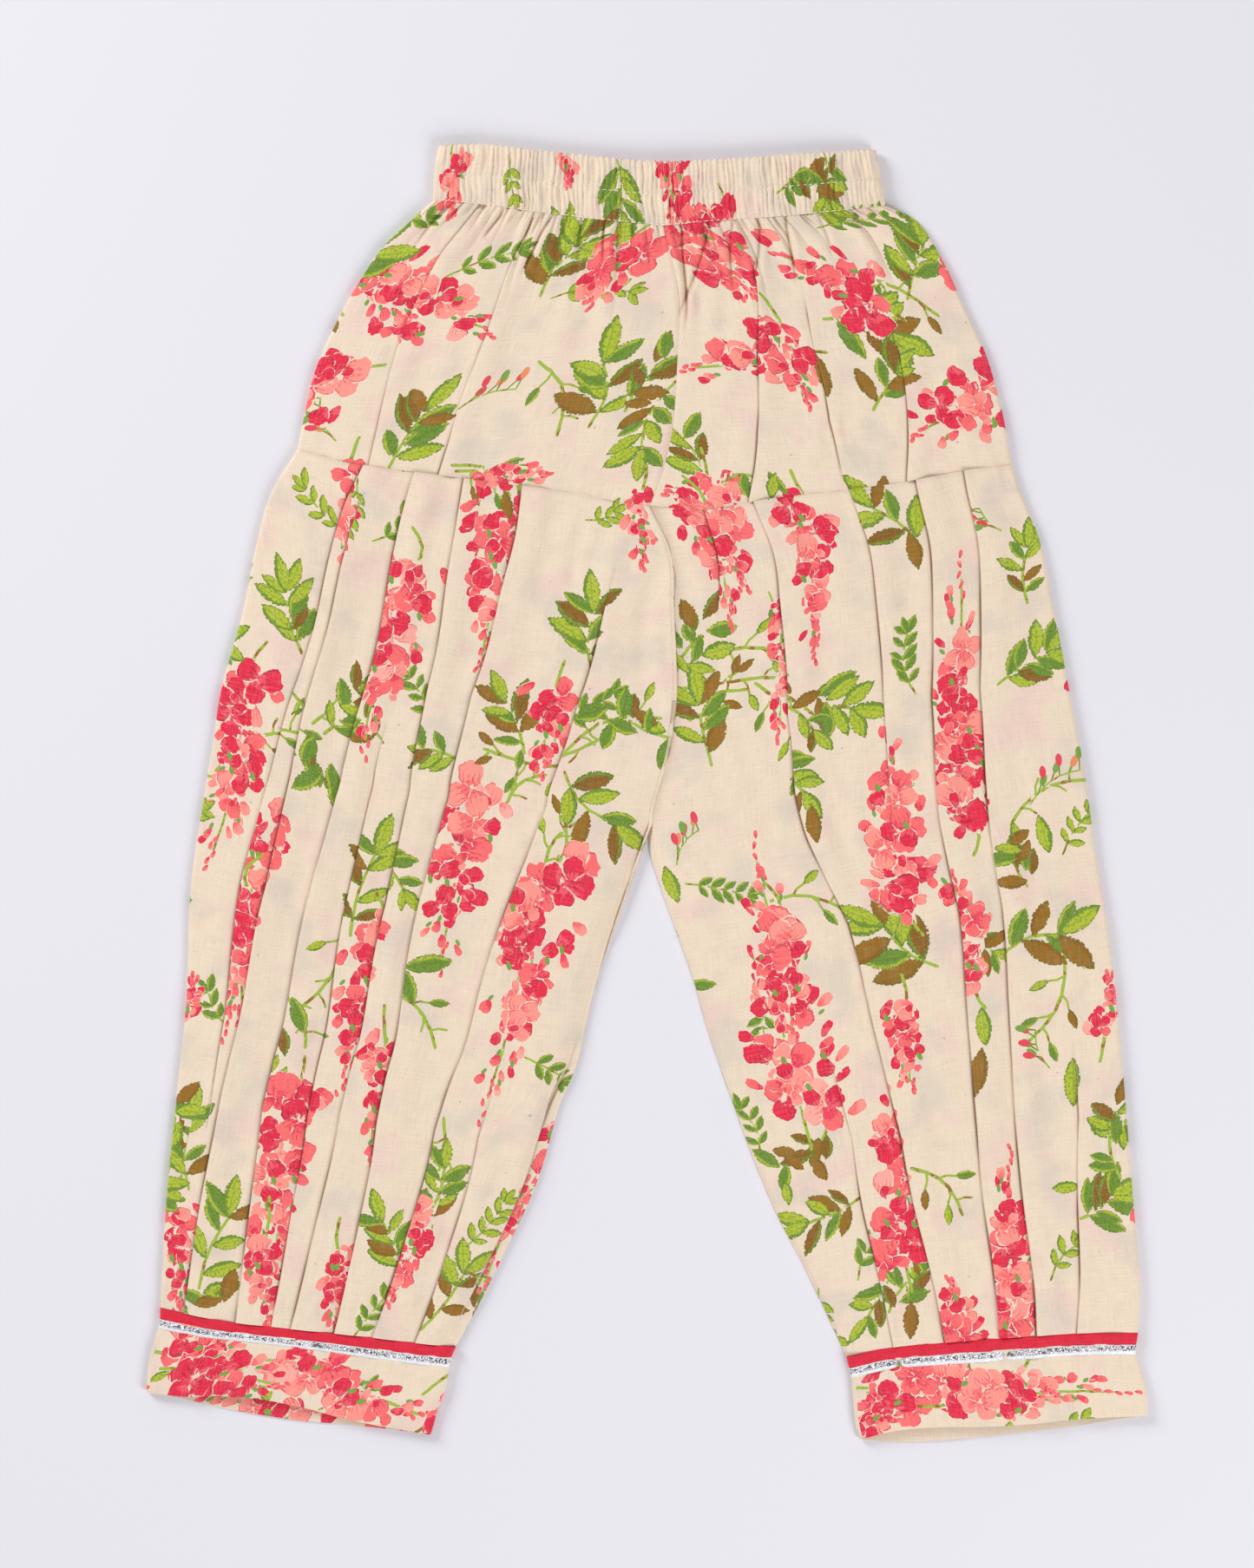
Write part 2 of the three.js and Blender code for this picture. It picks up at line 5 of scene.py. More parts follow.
import bmesh
import bpy
import numpy as np
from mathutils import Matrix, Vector


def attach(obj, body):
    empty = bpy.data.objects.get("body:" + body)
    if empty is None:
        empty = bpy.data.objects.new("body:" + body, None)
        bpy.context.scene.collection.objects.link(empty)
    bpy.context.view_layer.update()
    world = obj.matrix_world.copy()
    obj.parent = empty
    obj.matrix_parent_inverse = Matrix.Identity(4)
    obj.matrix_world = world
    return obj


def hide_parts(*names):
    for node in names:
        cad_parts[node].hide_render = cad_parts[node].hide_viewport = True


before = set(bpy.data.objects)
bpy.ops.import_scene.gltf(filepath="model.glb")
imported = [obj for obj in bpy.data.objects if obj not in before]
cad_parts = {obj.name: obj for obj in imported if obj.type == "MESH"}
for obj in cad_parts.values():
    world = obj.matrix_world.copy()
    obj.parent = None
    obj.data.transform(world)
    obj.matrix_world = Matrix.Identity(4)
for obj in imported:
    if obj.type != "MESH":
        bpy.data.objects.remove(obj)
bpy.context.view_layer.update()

# Camera, floor and light
# The garment lies on a plain pale floor under large soft lights and is seen from straight above.
MM = 0.001
PHOTO_HEIGHT = 777 * MM  # how much of the floor the photograph's long side takes in
PHOTO_MIDDLE = (-9.7 * MM, 5.4 * MM)
LENS = 85
SENSOR = 36

camera_data = bpy.data.cameras.new("camera")
camera_data.lens = LENS
camera_data.sensor_width = SENSOR
camera = bpy.data.objects.new("camera", camera_data)
camera.location = (*PHOTO_MIDDLE, PHOTO_HEIGHT * LENS / SENSOR)
bpy.context.collection.objects.link(camera)
bpy.context.scene.camera = camera
bpy.context.scene.view_settings.view_transform = "Standard"


def linear(red, green, blue):
    """A screen colour of 0 to 255 as Blender's linear colour."""
    shares = [c / 255 for c in (red, green, blue)]
    return (*(c / 12.92 if c <= 0.04045 else ((c + 0.055) / 1.055) ** 2.4 for c in shares), 1)


world = bpy.data.worlds.new("studio")
world.use_nodes = True
world.node_tree.nodes["Background"].inputs["Color"].default_value = linear(240, 240, 246)
world.node_tree.nodes["Background"].inputs["Strength"].default_value = 0.52
bpy.context.scene.world = world

# name, place, size, strength in watts
for name, place, size, watts in (
    ("soft light left", (-2.1, 1.6, 1.3), 1.1, 55),
    ("soft light right", (1.7, -1.7, 1.7), 1.5, 45),
):
    light_data = bpy.data.lights.new(name, "AREA")
    light_data.size = size
    light_data.energy = watts
    light = bpy.data.objects.new(name, light_data)
    light.location = place
    light.rotation_euler = (-light.location).to_track_quat("-Z", "Y").to_euler()
    bpy.context.collection.objects.link(light)

floor_mesh = bpy.data.meshes.new("floor")
floor_bm = bmesh.new()
bmesh.ops.create_grid(floor_bm, x_segments=1, y_segments=1, size=3)
floor_bm.to_mesh(floor_mesh)
floor_bm.free()
floor = bpy.data.objects.new("floor", floor_mesh)
floor.location.z = -0.2 * MM  # clear of the cloth's underside
bpy.context.collection.objects.link(floor)
floor_paint = bpy.data.materials.new("floor paper")
floor_paint.use_nodes = True
floor_paint.node_tree.nodes["Principled BSDF"].inputs["Base Color"].default_value = linear(233, 231, 236)
floor_paint.node_tree.nodes["Principled BSDF"].inputs["Roughness"].default_value = 0.9
floor_mesh.materials.append(floor_paint)

# Printed cotton
# One thin plain-woven cotton, cream, screen-printed with hanging flower clusters, leaf sprays, sprigs and
# buds, is used for the waist casing, yoke, legs and cuffs. The print runs down the legs. Each panel is a
# thin sheet over the form of its solid, and each corner of it knows its own place on the flat cloth.
CLOTH = 0.3  # thickness
SIDE_TOP = 3.8  # height of the cloth where it folds over at a side
SHIFT = np.array([-0.25, 0.444])  # from the tables' zero to the middle of the whole garment
OFF_FLOOR = 0.02  # keeps the underside of the cloth just above zero
PRINT_LAYERS = 5  # most shapes of the print that lie over one another in one cell


def smooth_line(rows):
    """A smooth line through a table's (x, y) rows: shares of its length, and places."""
    table = np.array(rows, float)
    table = np.vstack([2 * table[0] - table[1], table, 2 * table[-1] - table[-2]])
    steps = np.linspace(0, 1, 30, endpoint=False)[:, None]
    pieces = []
    for before, start, end, after in zip(table, table[1:], table[2:], table[3:]):
        t0, t1, t2 = (math.dist(a, b) ** 0.5 for a, b in ((before, start), (start, end), (end, after)))
        leave = ((start - before) / t0 - (end - before) / (t0 + t1) + (end - start) / t1) * t1
        reach = ((end - start) / t1 - (after - start) / (t1 + t2) + (after - end) / t2) * t1
        cube, square = steps**3, steps**2
        pieces.append(
            (2 * cube - 3 * square + 1) * start + (cube - 2 * square + steps) * leave
            + (3 * square - 2 * cube) * end + (cube - square) * reach
        )
    places = np.vstack([*pieces, table[-2:-1]])
    lengths = np.r_[0, np.cumsum(np.linalg.norm(np.diff(places, axis=0), axis=1))]
    return lengths / lengths[-1], places, lengths[-1]


def joined(first, second):
    """Two smooth lines, one after the other, as one."""
    share = first[2] / (first[2] + second[2])
    shares = np.r_[first[0] * share, share + second[0][1:] * (1 - share)]
    return shares, np.vstack([first[1], second[1][1:]]), first[2] + second[2]


def on_line(line, share):
    return np.stack([np.interp(share, line[0], line[1][:, axis]) for axis in (0, 1)], -1)


def panel(top, bottom, left, right):
    """A panel stretched over four lines: a place for each (s, v), from (0, 0), top left."""

    def place(s, v):
        s, v = np.broadcast_arrays(np.asarray(s, float), np.asarray(v, float))
        across, down = s[..., None], v[..., None]
        ends = [line[1][end] for line in (top, bottom) for end in (0, -1)]
        return (
            (1 - down) * on_line(top, s) + down * on_line(bottom, s)
            + (1 - across) * on_line(left, v) + across * on_line(right, v)
            - (1 - across) * (1 - down) * ends[0] - across * (1 - down) * ends[1]
            - (1 - across) * down * ends[2] - across * down * ends[3]
        )

    return place


def smooth(value, low, high):
    share = np.clip((np.asarray(value, float) - low) / (high - low), 0, 1)
    return share * share * (3 - 2 * share)


def ridge(off, width):
    """1 on a line and less beside it, under a fiftieth from twice the width on."""
    return np.exp(-((off / width) ** 2))


def waves(x, y, seed, across, along):
    """Slow uneven waves of about -1 to 1, across wide and along long."""
    rng = np.random.default_rng(seed)
    total = 0
    for _ in range(7):
        turns = rng.uniform(0.5, 1.5) / across, rng.uniform(-1.2, 1.2) / along, rng.uniform(0, 1)
        total = total + np.sin(2 * math.pi * (x * turns[0] + y * turns[1] + turns[2]))
    return total / 3


# Creases on the front: from x, y to x, y, width, rise. A negative rise is a trough. The same ones,
# mirrored, stand on the hidden back.
CREASES = [
    # right yoke
    (94, 170, 120, 164, 2.2, -0.5),
    (57, 255, 52, 243, 1.8, 0.9),
    (53, 244, 34, 235, 2.0, 0.8),
    (77, 238, 84, 200, 3.0, 0.4),
    (128, 210, 140, 168, 2.2, -0.4),
    (166, 176, 175, 150, 2.0, 0.5),
    (90, 170, 100, 196, 3.0, 0.35),
    (20, 268, 26, 238, 2.0, -0.5),
    (95, 183, 98, 167, 2.6, 0.8),
    (98, 167, 109, 164, 2.4, 0.6),
    (89, 181, 92, 167, 3.0, -0.6),
    # left yoke
    (-70, 243, -38, 235, 3.6, -0.9),
    (-82, 288, -75, 262, 1.8, 0.5),
    (-55, 268, -40, 240, 3.0, 0.35),
    (-140, 232, -122, 196, 4.0, 0.4),
    (-30, 262, -34, 236, 2.0, 0.4),
    (-150, 200, -136, 176, 3.0, -0.3),
    # left leg
    (-157, 2, -131, -6, 1.8, 0.35),
    (-148, 96, -150, 60, 3.0, 0.35),
    (-31, 134, -36, 102, 3.2, -1.0),
    (-26, 134, -31, 102, 3.0, 0.6),
    (2, 47, 12, 35, 2.8, -0.8),
    (5, 38, 14, 28, 2.8, -0.8),
    (-8, 60, 4, 48, 3.0, -0.5),
    (7, 108, -4, 52, 4.5, -1.5),
    (8, 84, 8, 30, 3.0, 0.8),
    (-12, 120, -18, 50, 5.0, 0.6),
    (-60, 104, -44, 60, 5.0, 0.5),
    (-30, 130, -26, 106, 2.5, -0.4),
    (-200, 60, -206, 10, 5.0, 0.4),
    (-120, -60, -128, -110, 3.0, 0.35),
    (-102, -40, -116, -88, 4.0, -0.35),
    (-214, -60, -210, -130, 5.0, 0.4),
    (-176, -120, -186, -168, 2.5, 0.4),
    (-64, -160, -84, -214, 3.0, 0.4),
    (-52, -90, -66, -128, 5.0, 0.4),
    (-150, -210, -156, -252, 2.5, 0.4),
    (-100, -220, -112, -258, 2.2, -0.4),
    # right leg
    (30, 138, 25, 112, 3.2, -0.9),
    (34, 138, 29, 112, 3.0, 0.5),
    (96, 24, 99, -10, 3.2, -0.7),
    (22, 120, 30, 76, 3.0, 0.5),
    (36, 96, 44, 50, 4.0, 0.35),
    (98, 20, 104, -40, 4.0, 0.4),
    (120, 60, 124, 10, 3.0, -0.35),
    (190, 40, 196, -30, 6.0, 0.45),
    (60, -60, 74, -120, 5.0, 0.4),
    (84, -150, 100, -200, 4.0, 0.4),
    (176, -110, 180, -170, 4.0, 0.4),
    (206, -60, 214, -120, 5.0, 0.4),
    (226, -150, 228, -214, 4.0, -0.35),
    (150, -190, 156, -240, 2.6, 0.4),
    (120, -220, 128, -262, 2.2, 0.4),
    (200, -214, 204, -258, 2.4, 0.4),
]

# Narrow folds below the casing, not sewn, each with a line of painted shade in its trough: from x, y to x, y,
# depth
FURROWS = [
    (-71, 290, -79, 275, 1.2),
    (-43, 287, -61, 261, 1.3),
    (-18, 287, -22.5, 264, 1.4),
    (-52, 289, -56, 276, 0.9),
    (-95, 294, -112, 272, 1.0),
    (20.5, 283, 17, 236, 1.5),
    (29, 285, 19, 240, 1.2),
    (44.5, 286, 42, 251, 1.1),
    (54, 286, 54.4, 255, 1.1),
    (70.5, 289, 71.5, 257, 1.3),
    (84, 290, 90, 268, 0.8),
]


def beside(xy, x0, y0, x1, y1):
    """How far each place is aside from a slightly bowed line, and how well it lies between its ends."""
    length = math.hypot(x1 - x0, y1 - y0)
    ux, uy = (x1 - x0) / length, (y1 - y0) / length
    along = ((xy[..., 0] - x0) * ux + (xy[..., 1] - y0) * uy) / length
    off = (xy[..., 1] - y0) * ux - (xy[..., 0] - x0) * uy + 0.06 * length * np.sin(3 * along + x0)
    return off, smooth(along, -0.25, 0.2) * (1 - smooth(along, 0.75, 1.25))


def creased(xy, mirrored=False):
    """The rise of all creases at each place."""
    rise = np.zeros(xy.shape[:-1])
    for x0, y0, x1, y1, width, height in CREASES:
        off, ends = beside(xy * (-1, 1) if mirrored else xy, x0, y0, x1, y1)
        rise += height * ends * ridge(off, width)
    return rise


def furrowed(xy):
    """The rise of all furrows, each with a ridge beside it, and the painted shade along their troughs."""
    rise, line = np.zeros(xy.shape[:-1]), np.zeros(xy.shape[:-1])
    for x0, y0, x1, y1, depth in FURROWS:
        off, ends = beside(xy, x0, y0, x1, y1)
        rise += depth * ends * (0.5 * ridge(off - 3, 2.2) - ridge(off, 1.2))
        # painted shade along the furrow's trough
        line += depth * ends * ridge(off, 0.6)
    return rise, line


PLEAT_END = 0.07  # share of the panel's length over which a pleat comes up or dies out


def pleat_line(pleat, v):
    return np.interp(v, [0, 0.25, 0.5, 0.75, 1], pleat["across"])


def standing(pleat, v):
    """How far a pleat has risen at height v, from 0 to 1."""
    start = smooth(v, pleat["from"] - PLEAT_END, pleat["from"] + PLEAT_END) if pleat["from"] > 0 else 1
    end = 1 - smooth(v, pleat["to"] - PLEAT_END, pleat["to"] + PLEAT_END) if pleat["to"] < 1 else 1
    return np.ones_like(v) * start * end


# A knife pleat's section, from the cloth below to the cloth above: across in shares of its tuck plus
# millimetres, up in shares of its rise, the painted shade in its crease, and whether it is seen from above.
PLEAT_SECTION = [
    (0, -1.2, 0, 0.1, 1), (0, -0.1, 0, 1, 1), (0.5, 0, 0.02, 0.8, 0), (1, 0, 0.06, 0.5, 0),
    (1, 0.12, 0.16, 0.5, 0), (1, 0, 0.27, 0.5, 0), (0.5, 0, 0.28, 0.5, 0), (0, 0.5, 0.3, 0.7, 0),
    (0, 0.1, 0.4, 1, 1), (0, -0.12, 0.66, 0.95, 1), (0, 0.1, 0.92, 0.3, 1), (0, 0.5, 1, 0, 1),
    (0, 1.3, 1, 0, 1),
]
PLEAT_LAP = 12  # width over which the upper cloth falls back beyond the tuck


def pleated_row(pleats, front, v, left, lap, across, fewest):
    """Columns across a front panel, about across of them in all and fewest or more between two pleats. lap
    is how far the left half lies over the right one. For each row of v: the shares across, the pleats' own
    rise, which columns show, the painted shade in the crease beside each pleat, and the panel's width."""
    widths = np.linalg.norm(front(1.0, v) - front(0.0, v), axis=1)
    fold = SIDE_TOP / 2 / widths
    low, high = (fold, 1 + lap / widths) if left else (np.zeros(len(v)), 1 - fold)
    lines = [0, *(min(np.mean(pleat["across"]), 0.99) for pleat in pleats), 1]
    cells = [max(fewest, int((b - a) * across)) for a, b in zip(lines, lines[1:])]
    tucks, extras, ups, section_shades, seen = np.array(PLEAT_SECTION).T
    flat = np.linspace(extras[0], extras[-1], len(extras))
    none = np.zeros((len(v), 1))
    shares, rises, shade, shown = [low[:, None]], [none], [none], [True]
    previous = low
    for number, pleat in enumerate([*pleats, None]):
        if pleat:
            up, over = standing(pleat, v)[:, None], pleat.get("over", 1)
            offsets = (tucks * pleat["tuck"] + extras) * up + flat * (1 - up)
            # pleat_shade is painted shade in the pleat's crease, darkest on the cloth just below its edge
            heights, pleat_shade = ups * up * pleat["rise"], section_shades * up
            if over < 0:
                offsets, heights, pleat_shade = -offsets[:, ::-1], heights[:, ::-1], pleat_shade[:, ::-1]
            own = pleat_line(pleat, v)[:, None] + offsets / widths[:, None]
        until = own[:, 0] if pleat else high
        steps = np.arange(1, cells[number]) / cells[number]
        plain = previous[:, None] + (until - previous)[:, None] * steps
        shares.append(plain)
        rises.append(np.zeros_like(plain))
        shade.append(np.zeros_like(plain))
        shown += [True] * len(steps)
        if pleat:
            shares.append(own)
            rises.append(heights)
            shade.append(pleat_shade)
            shown += list(seen[::over] > 0)
            previous = own[:, -1]
    shares = np.hstack([*shares, high[:, None]])
    rises, shade = np.hstack([*rises, none]), np.hstack([*shade, none])
    column = 1
    for number, pleat in enumerate(pleats):
        column += cells[number] - 1
        past = (shares - pleat_line(pleat, v)[:, None]) * widths[:, None] * pleat.get("over", 1)
        fall = np.where(past > 0, 1 - smooth(past, pleat["tuck"] + 0.5, pleat["tuck"] + PLEAT_LAP), 0)
        fall[:, column : column + len(seen)] = 0
        rises = rises + fall * (standing(pleat, v) * pleat["rise"])[:, None]
        column += len(seen)
    return shares, rises, np.array([*shown, True]), shade, widths[:, None]


# Inks of the print: number, colour, second tone, outline. Petals are from 11, leaves from 21, stems from
# 31 and buds from 41.
INKS = {
    "salmon": (11, (255, 152, 138), (253, 116, 112), (222, 54, 76)),
    "coral": (12, (253, 108, 108), (242, 62, 88), (188, 30, 62)),
    "crimson": (13, (232, 30, 68), (248, 86, 102), (140, 14, 48)),
    "blush": (14, (255, 172, 158), (254, 134, 124), (226, 84, 88)),
    "green": (21, (110, 146, 38), (176, 192, 46), (72, 104, 28)),
    "lime": (22, (178, 194, 44), (116, 150, 38), (92, 120, 28)),
    "brown": (23, (158, 102, 8), (142, 90, 6), (94, 118, 24)),
    "olive": (24, (146, 94, 6), (122, 152, 32), (60, 90, 26)),
    "stem": (31, (160, 188, 58), (150, 108, 30), (92, 98, 42)),
    "twig": (32, (120, 156, 56), (150, 108, 30), (72, 90, 36)),
    "red bud": (41, (232, 66, 84), (240, 120, 100), (160, 110, 50)),
    "orange bud": (42, (238, 142, 92), (226, 110, 76), (150, 130, 60)),
    "green bud": (43, (120, 164, 64), (98, 140, 52), (66, 96, 40)),
}
PETAL_INKS = ["salmon", "coral", "crimson", "blush"]

# The print's motifs where they show on the front: kind, x and y of the foot, the way that
# it points in degrees, length, width. The back has the same ones, mirrored.
MOTIFS = [
    ("raceme", -145, 160, -100, 55, 20),
    ("raceme", -115, 115, -105, 95, 35),
    ("raceme", -70, 140, -100, 75, 30),
    ("raceme", -190, 60, -105, 95, 30),
    ("raceme", -180, -10, -105, 110, 30),
    ("raceme", -45, 50, -100, 40, 25),
    ("raceme", -85, 5, -100, 90, 40),
    ("raceme", -45, -30, -105, 130, 40),
    ("raceme", -135, -65, -100, 80, 30),
    ("raceme", -130, -120, -95, 65, 20),
    ("raceme", -175, -145, -95, 95, 40),
    ("raceme", -230, -205, -90, 50, 20),
    ("raceme", -110, -205, -110, 50, 25),
    ("raceme", -45, -165, -115, 85, 20),
    ("spray", -160, 30, 50, 35, 30),
    ("cluster", -150, -5, 130, 35, 30),
    ("spray", -170, 70, 105, 40, 30),
    ("sprig", -150, 130, 130, 25, 15),
    ("sprig", -135, 125, 40, 25, 15),
    ("sprig", -105, 35, 120, 25, 15),
    ("spray", -25, 55, 90, 45, 35),
    ("cluster", 15, 30, 165, 40, 35),
    ("vine", 0, 30, -175, 80, 25),
    ("spray", -40, 10, -45, 45, 35),
    ("spray", -60, 20, 110, 35, 30),
    ("leaf brown", -85, 15, 20, 10, 10),
    ("spray", -145, -70, 75, 55, 35),
    ("vine", -150, -60, -115, 50, 15),
    ("vine", -215, 10, 15, 65, 15),
    ("vine", -175, 50, -70, 25, 10),
    ("vine", -165, 35, 10, 25, 10),
    ("vine", -70, -5, 35, 25, 10),
    ("vine", -40, 20, 20, 50, 15),
    ("vine", -50, -40, 60, 30, 10),
    ("vine", -185, -95, -60, 35, 10),
    ("vine", -130, -95, -50, 40, 10),
    ("vine", -100, -160, -110, 45, 10),
    ("vine", -60, 215, -60, 45, 10),
    ("leaf green", -120, -85, 5, 25, 10),
    ("leaf green", -120, -85, -75, 20, 10),
    ("sprig", -205, -115, 125, 20, 15),
    ("leaf green", -175, -100, -70, 20, 10),
    ("leaf olive", -180, -115, -80, 15, 10),
    ("sprig", -175, -160, 115, 25, 15),
    ("spray", -225, -195, 90, 45, 30),
    ("spray", -220, -245, 70, 50, 35),
    ("cluster", -235, -250, 5, 30, 25),
    ("spray", -120, -240, 110, 40, 30),
    ("spray", -105, -215, 80, 40, 25),
    ("sprig", -90, -225, 50, 30, 20),
    ("spray", -110, -265, 55, 45, 30),
    ("sprig", -60, -130, -30, 25, 15),
    ("sprig", -145, -270, 55, 25, 15),
    ("raceme", 30, 155, -80, 70, 40),
    ("raceme", 80, 145, -85, 75, 25),
    ("raceme", 65, 95, -85, 65, 15),
    ("raceme", 160, -15, 95, 125, 35),
    ("raceme", 130, -55, 100, 95, 40),
    ("raceme", 80, -160, 100, 135, 50),
    ("raceme", 165, -90, 105, 50, 25),
    ("raceme", 130, -230, 95, 105, 35),
    ("raceme", 185, -270, 95, 90, 35),
    ("raceme", 155, -270, 100, 30, 25),
    ("raceme", 230, -115, 95, 25, 15),
    ("spray", 135, 120, 135, 40, 35),
    ("leaf brown", 130, 130, -75, 20, 10),
    ("spray", 190, 95, 95, 35, 25),
    ("buds", 175, 130, 130, 15, 15),
    ("cluster", 20, 65, 60, 25, 35),
    ("vine", 15, 50, -10, 95, 20),
    ("vine", 10, 60, 0, 75, 15),
    ("vine", 10, 30, 30, 45, 15),
    ("vine", 50, 55, -60, 60, 15),
    ("vine", 180, -15, 30, 45, 10),
    ("vine", 130, -185, -40, 35, 10),
    ("vine", 55, -55, -5, 45, 10),
    ("vine", 205, -80, -110, 45, 10),
    ("vine", 85, 255, -20, 60, 10),
    ("spray", 35, 15, 110, 40, 35),
    ("spray", 80, 50, -20, 30, 35),
    ("spray", 60, 25, -50, 40, 30),
    ("leaf brown", 80, -5, -75, 20, 10),
    ("sprig", 135, 50, 105, 30, 15),
    ("sprig", 60, 100, -55, 20, 15),
    ("spray", 175, 55, 35, 35, 30),
    ("buds", 190, -5, 35, 30, 15),
    ("sprig", 205, -30, 55, 25, 15),
    ("cluster", 185, -40, 105, 20, 30),
    ("leaf lime", 195, -10, -80, 20, 10),
    ("spray", 145, -85, 145, 45, 45),
    ("spray", 175, -80, 20, 40, 40),
    ("leaf lime", 165, -105, -80, 20, 10),
    ("leaf brown", 165, -125, -95, 25, 10),
    ("leaf lime", 10, -35, -75, 20, 10),
    ("sprig", 20, -45, -10, 30, 20),
    ("buds", 15, -35, 60, 20, 15),
    ("leaf green", 20, -95, 5, 15, 10),
    ("buds", 200, -135, 115, 20, 15),
    ("leaf lime", 210, -130, -85, 25, 10),
    ("cluster", 235, -180, 105, 30, 30),
    ("spray", 215, -210, 40, 25, 30),
    ("leaf lime", 200, -195, 5, 15, 10),
    ("sprig", 55, -180, 105, 25, 15),
    ("cluster", 85, -170, -130, 30, 35),
    ("spray", 105, -200, -155, 35, 30),
    ("sprig", 60, -105, -95, 15, 10),
    ("cluster", 125, -250, 55, 25, 30),
    ("leaf brown", 130, -250, -85, 20, 10),
    ("sprig", 105, -240, 65, 20, 15),
    ("sprig", 200, -240, 55, 20, 15),
    ("raceme", -135, 245, -15, 65, 40),
    ("raceme", -15, 270, -105, 30, 30),
    ("sprig", -95, 255, 25, 35, 20),
    ("spray", -45, 245, 75, 35, 35),
    ("sprig", -45, 245, 5, 35, 15),
    ("spray", -20, 180, 100, 45, 40),
    ("cluster", 0, 195, 75, 25, 30),
    ("spray", -120, 160, 75, 40, 35),
    ("buds", -90, 190, 25, 25, 20),
    ("buds", -150, 175, 125, 25, 15),
    ("raceme", -80, 160, -5, 30, 15),
    ("raceme", 40, 285, -100, 40, 45),
    ("raceme", 110, 245, 150, 45, 40),
    ("raceme", 80, 220, -170, 60, 35),
    ("raceme", 185, 205, -155, 60, 40),
    ("raceme", 40, 150, -170, 30, 25),
    ("spray", 90, 235, -15, 40, 40),
    ("spray", 110, 190, 50, 30, 30),
    ("leaf brown", 85, 220, -85, 25, 10),
    ("spray", 125, 245, 60, 40, 40),
    ("sprig", 85, 280, 5, 40, 20),
    ("spray", 25, 155, 110, 35, 30),
    ("leaf green", 60, 160, -55, 15, 10),
    ("raceme", -95, 315, -90, 30, 20),
    ("sprig", -70, 315, -75, 20, 15),
    ("spray", -15, 315, -85, 35, 40),
    ("raceme", 15, 315, -90, 35, 25),
    ("raceme", -40, 315, -80, 15, 15),
    ("cluster", 65, 300, 10, 35, 35),
    ("raceme", -185, -285, -15, 80, 30),
    ("raceme", -235, -275, -10, 40, 25),
    ("cluster", -190, -300, 165, 25, 20),
    ("leaf lime", -245, -290, 25, 10, 10),
    ("sprig", -160, -305, 25, 20, 15),
    ("raceme", 110, -295, 0, 125, 30),
    ("sprig", 170, -315, 5, 45, 15),
    ("raceme", 105, -315, 15, 20, 20),
    ("spray", 90, 320, -95, 35, 30),
    ("raceme", -145, 262, -35, 45, 35),
    ("raceme", 15, 285, -60, 45, 35),
    ("raceme", 70, 232, -85, 40, 30),
    ("spray", 5, 205, -95, 45, 30),
    ("sprig", -140, 155, -110, 30, 15),
    ("sprig", -30, 135, 20, 15, 15),
    ("raceme", -5, 148, -85, 35, 15),
    ("leaf brown", -70, 150, -80, 15, 10),
    ("vine", -95, 160, -25, 30, 10),
    ("leaf lime", 60, 145, 75, 15, 10),
    ("leaf green", 50, 145, 100, 15, 10),
    ("raceme", 25, 140, -60, 45, 35),
    ("spray", -130, 25, 145, 35, 25),
    ("spray", -90, 15, 165, 35, 25),
    ("sprig", -45, 40, 20, 30, 15),
    ("spray", 60, 45, -30, 35, 25),
    ("spray", -135, -25, -55, 35, 25),
    ("leaf lime", 10, -60, -80, 20, 10),
    ("spray", 150, -70, -20, 30, 25),
    ("raceme", -195, -45, -95, 65, 30),
    ("raceme", 60, -60, -75, 60, 30),
    ("raceme", 125, -105, -80, 40, 20),
    ("raceme", -190, -215, -85, 50, 25),
    ("raceme", -150, -225, -95, 40, 20),
    ("spray", -90, -235, -60, 30, 25),
    ("sprig", 85, -245, -70, 25, 15),
    ("spray", 125, -240, -130, 30, 25),
    ("raceme", -225, -285, -10, 45, 30),
    ("raceme", 150, -300, 5, 50, 30),
]


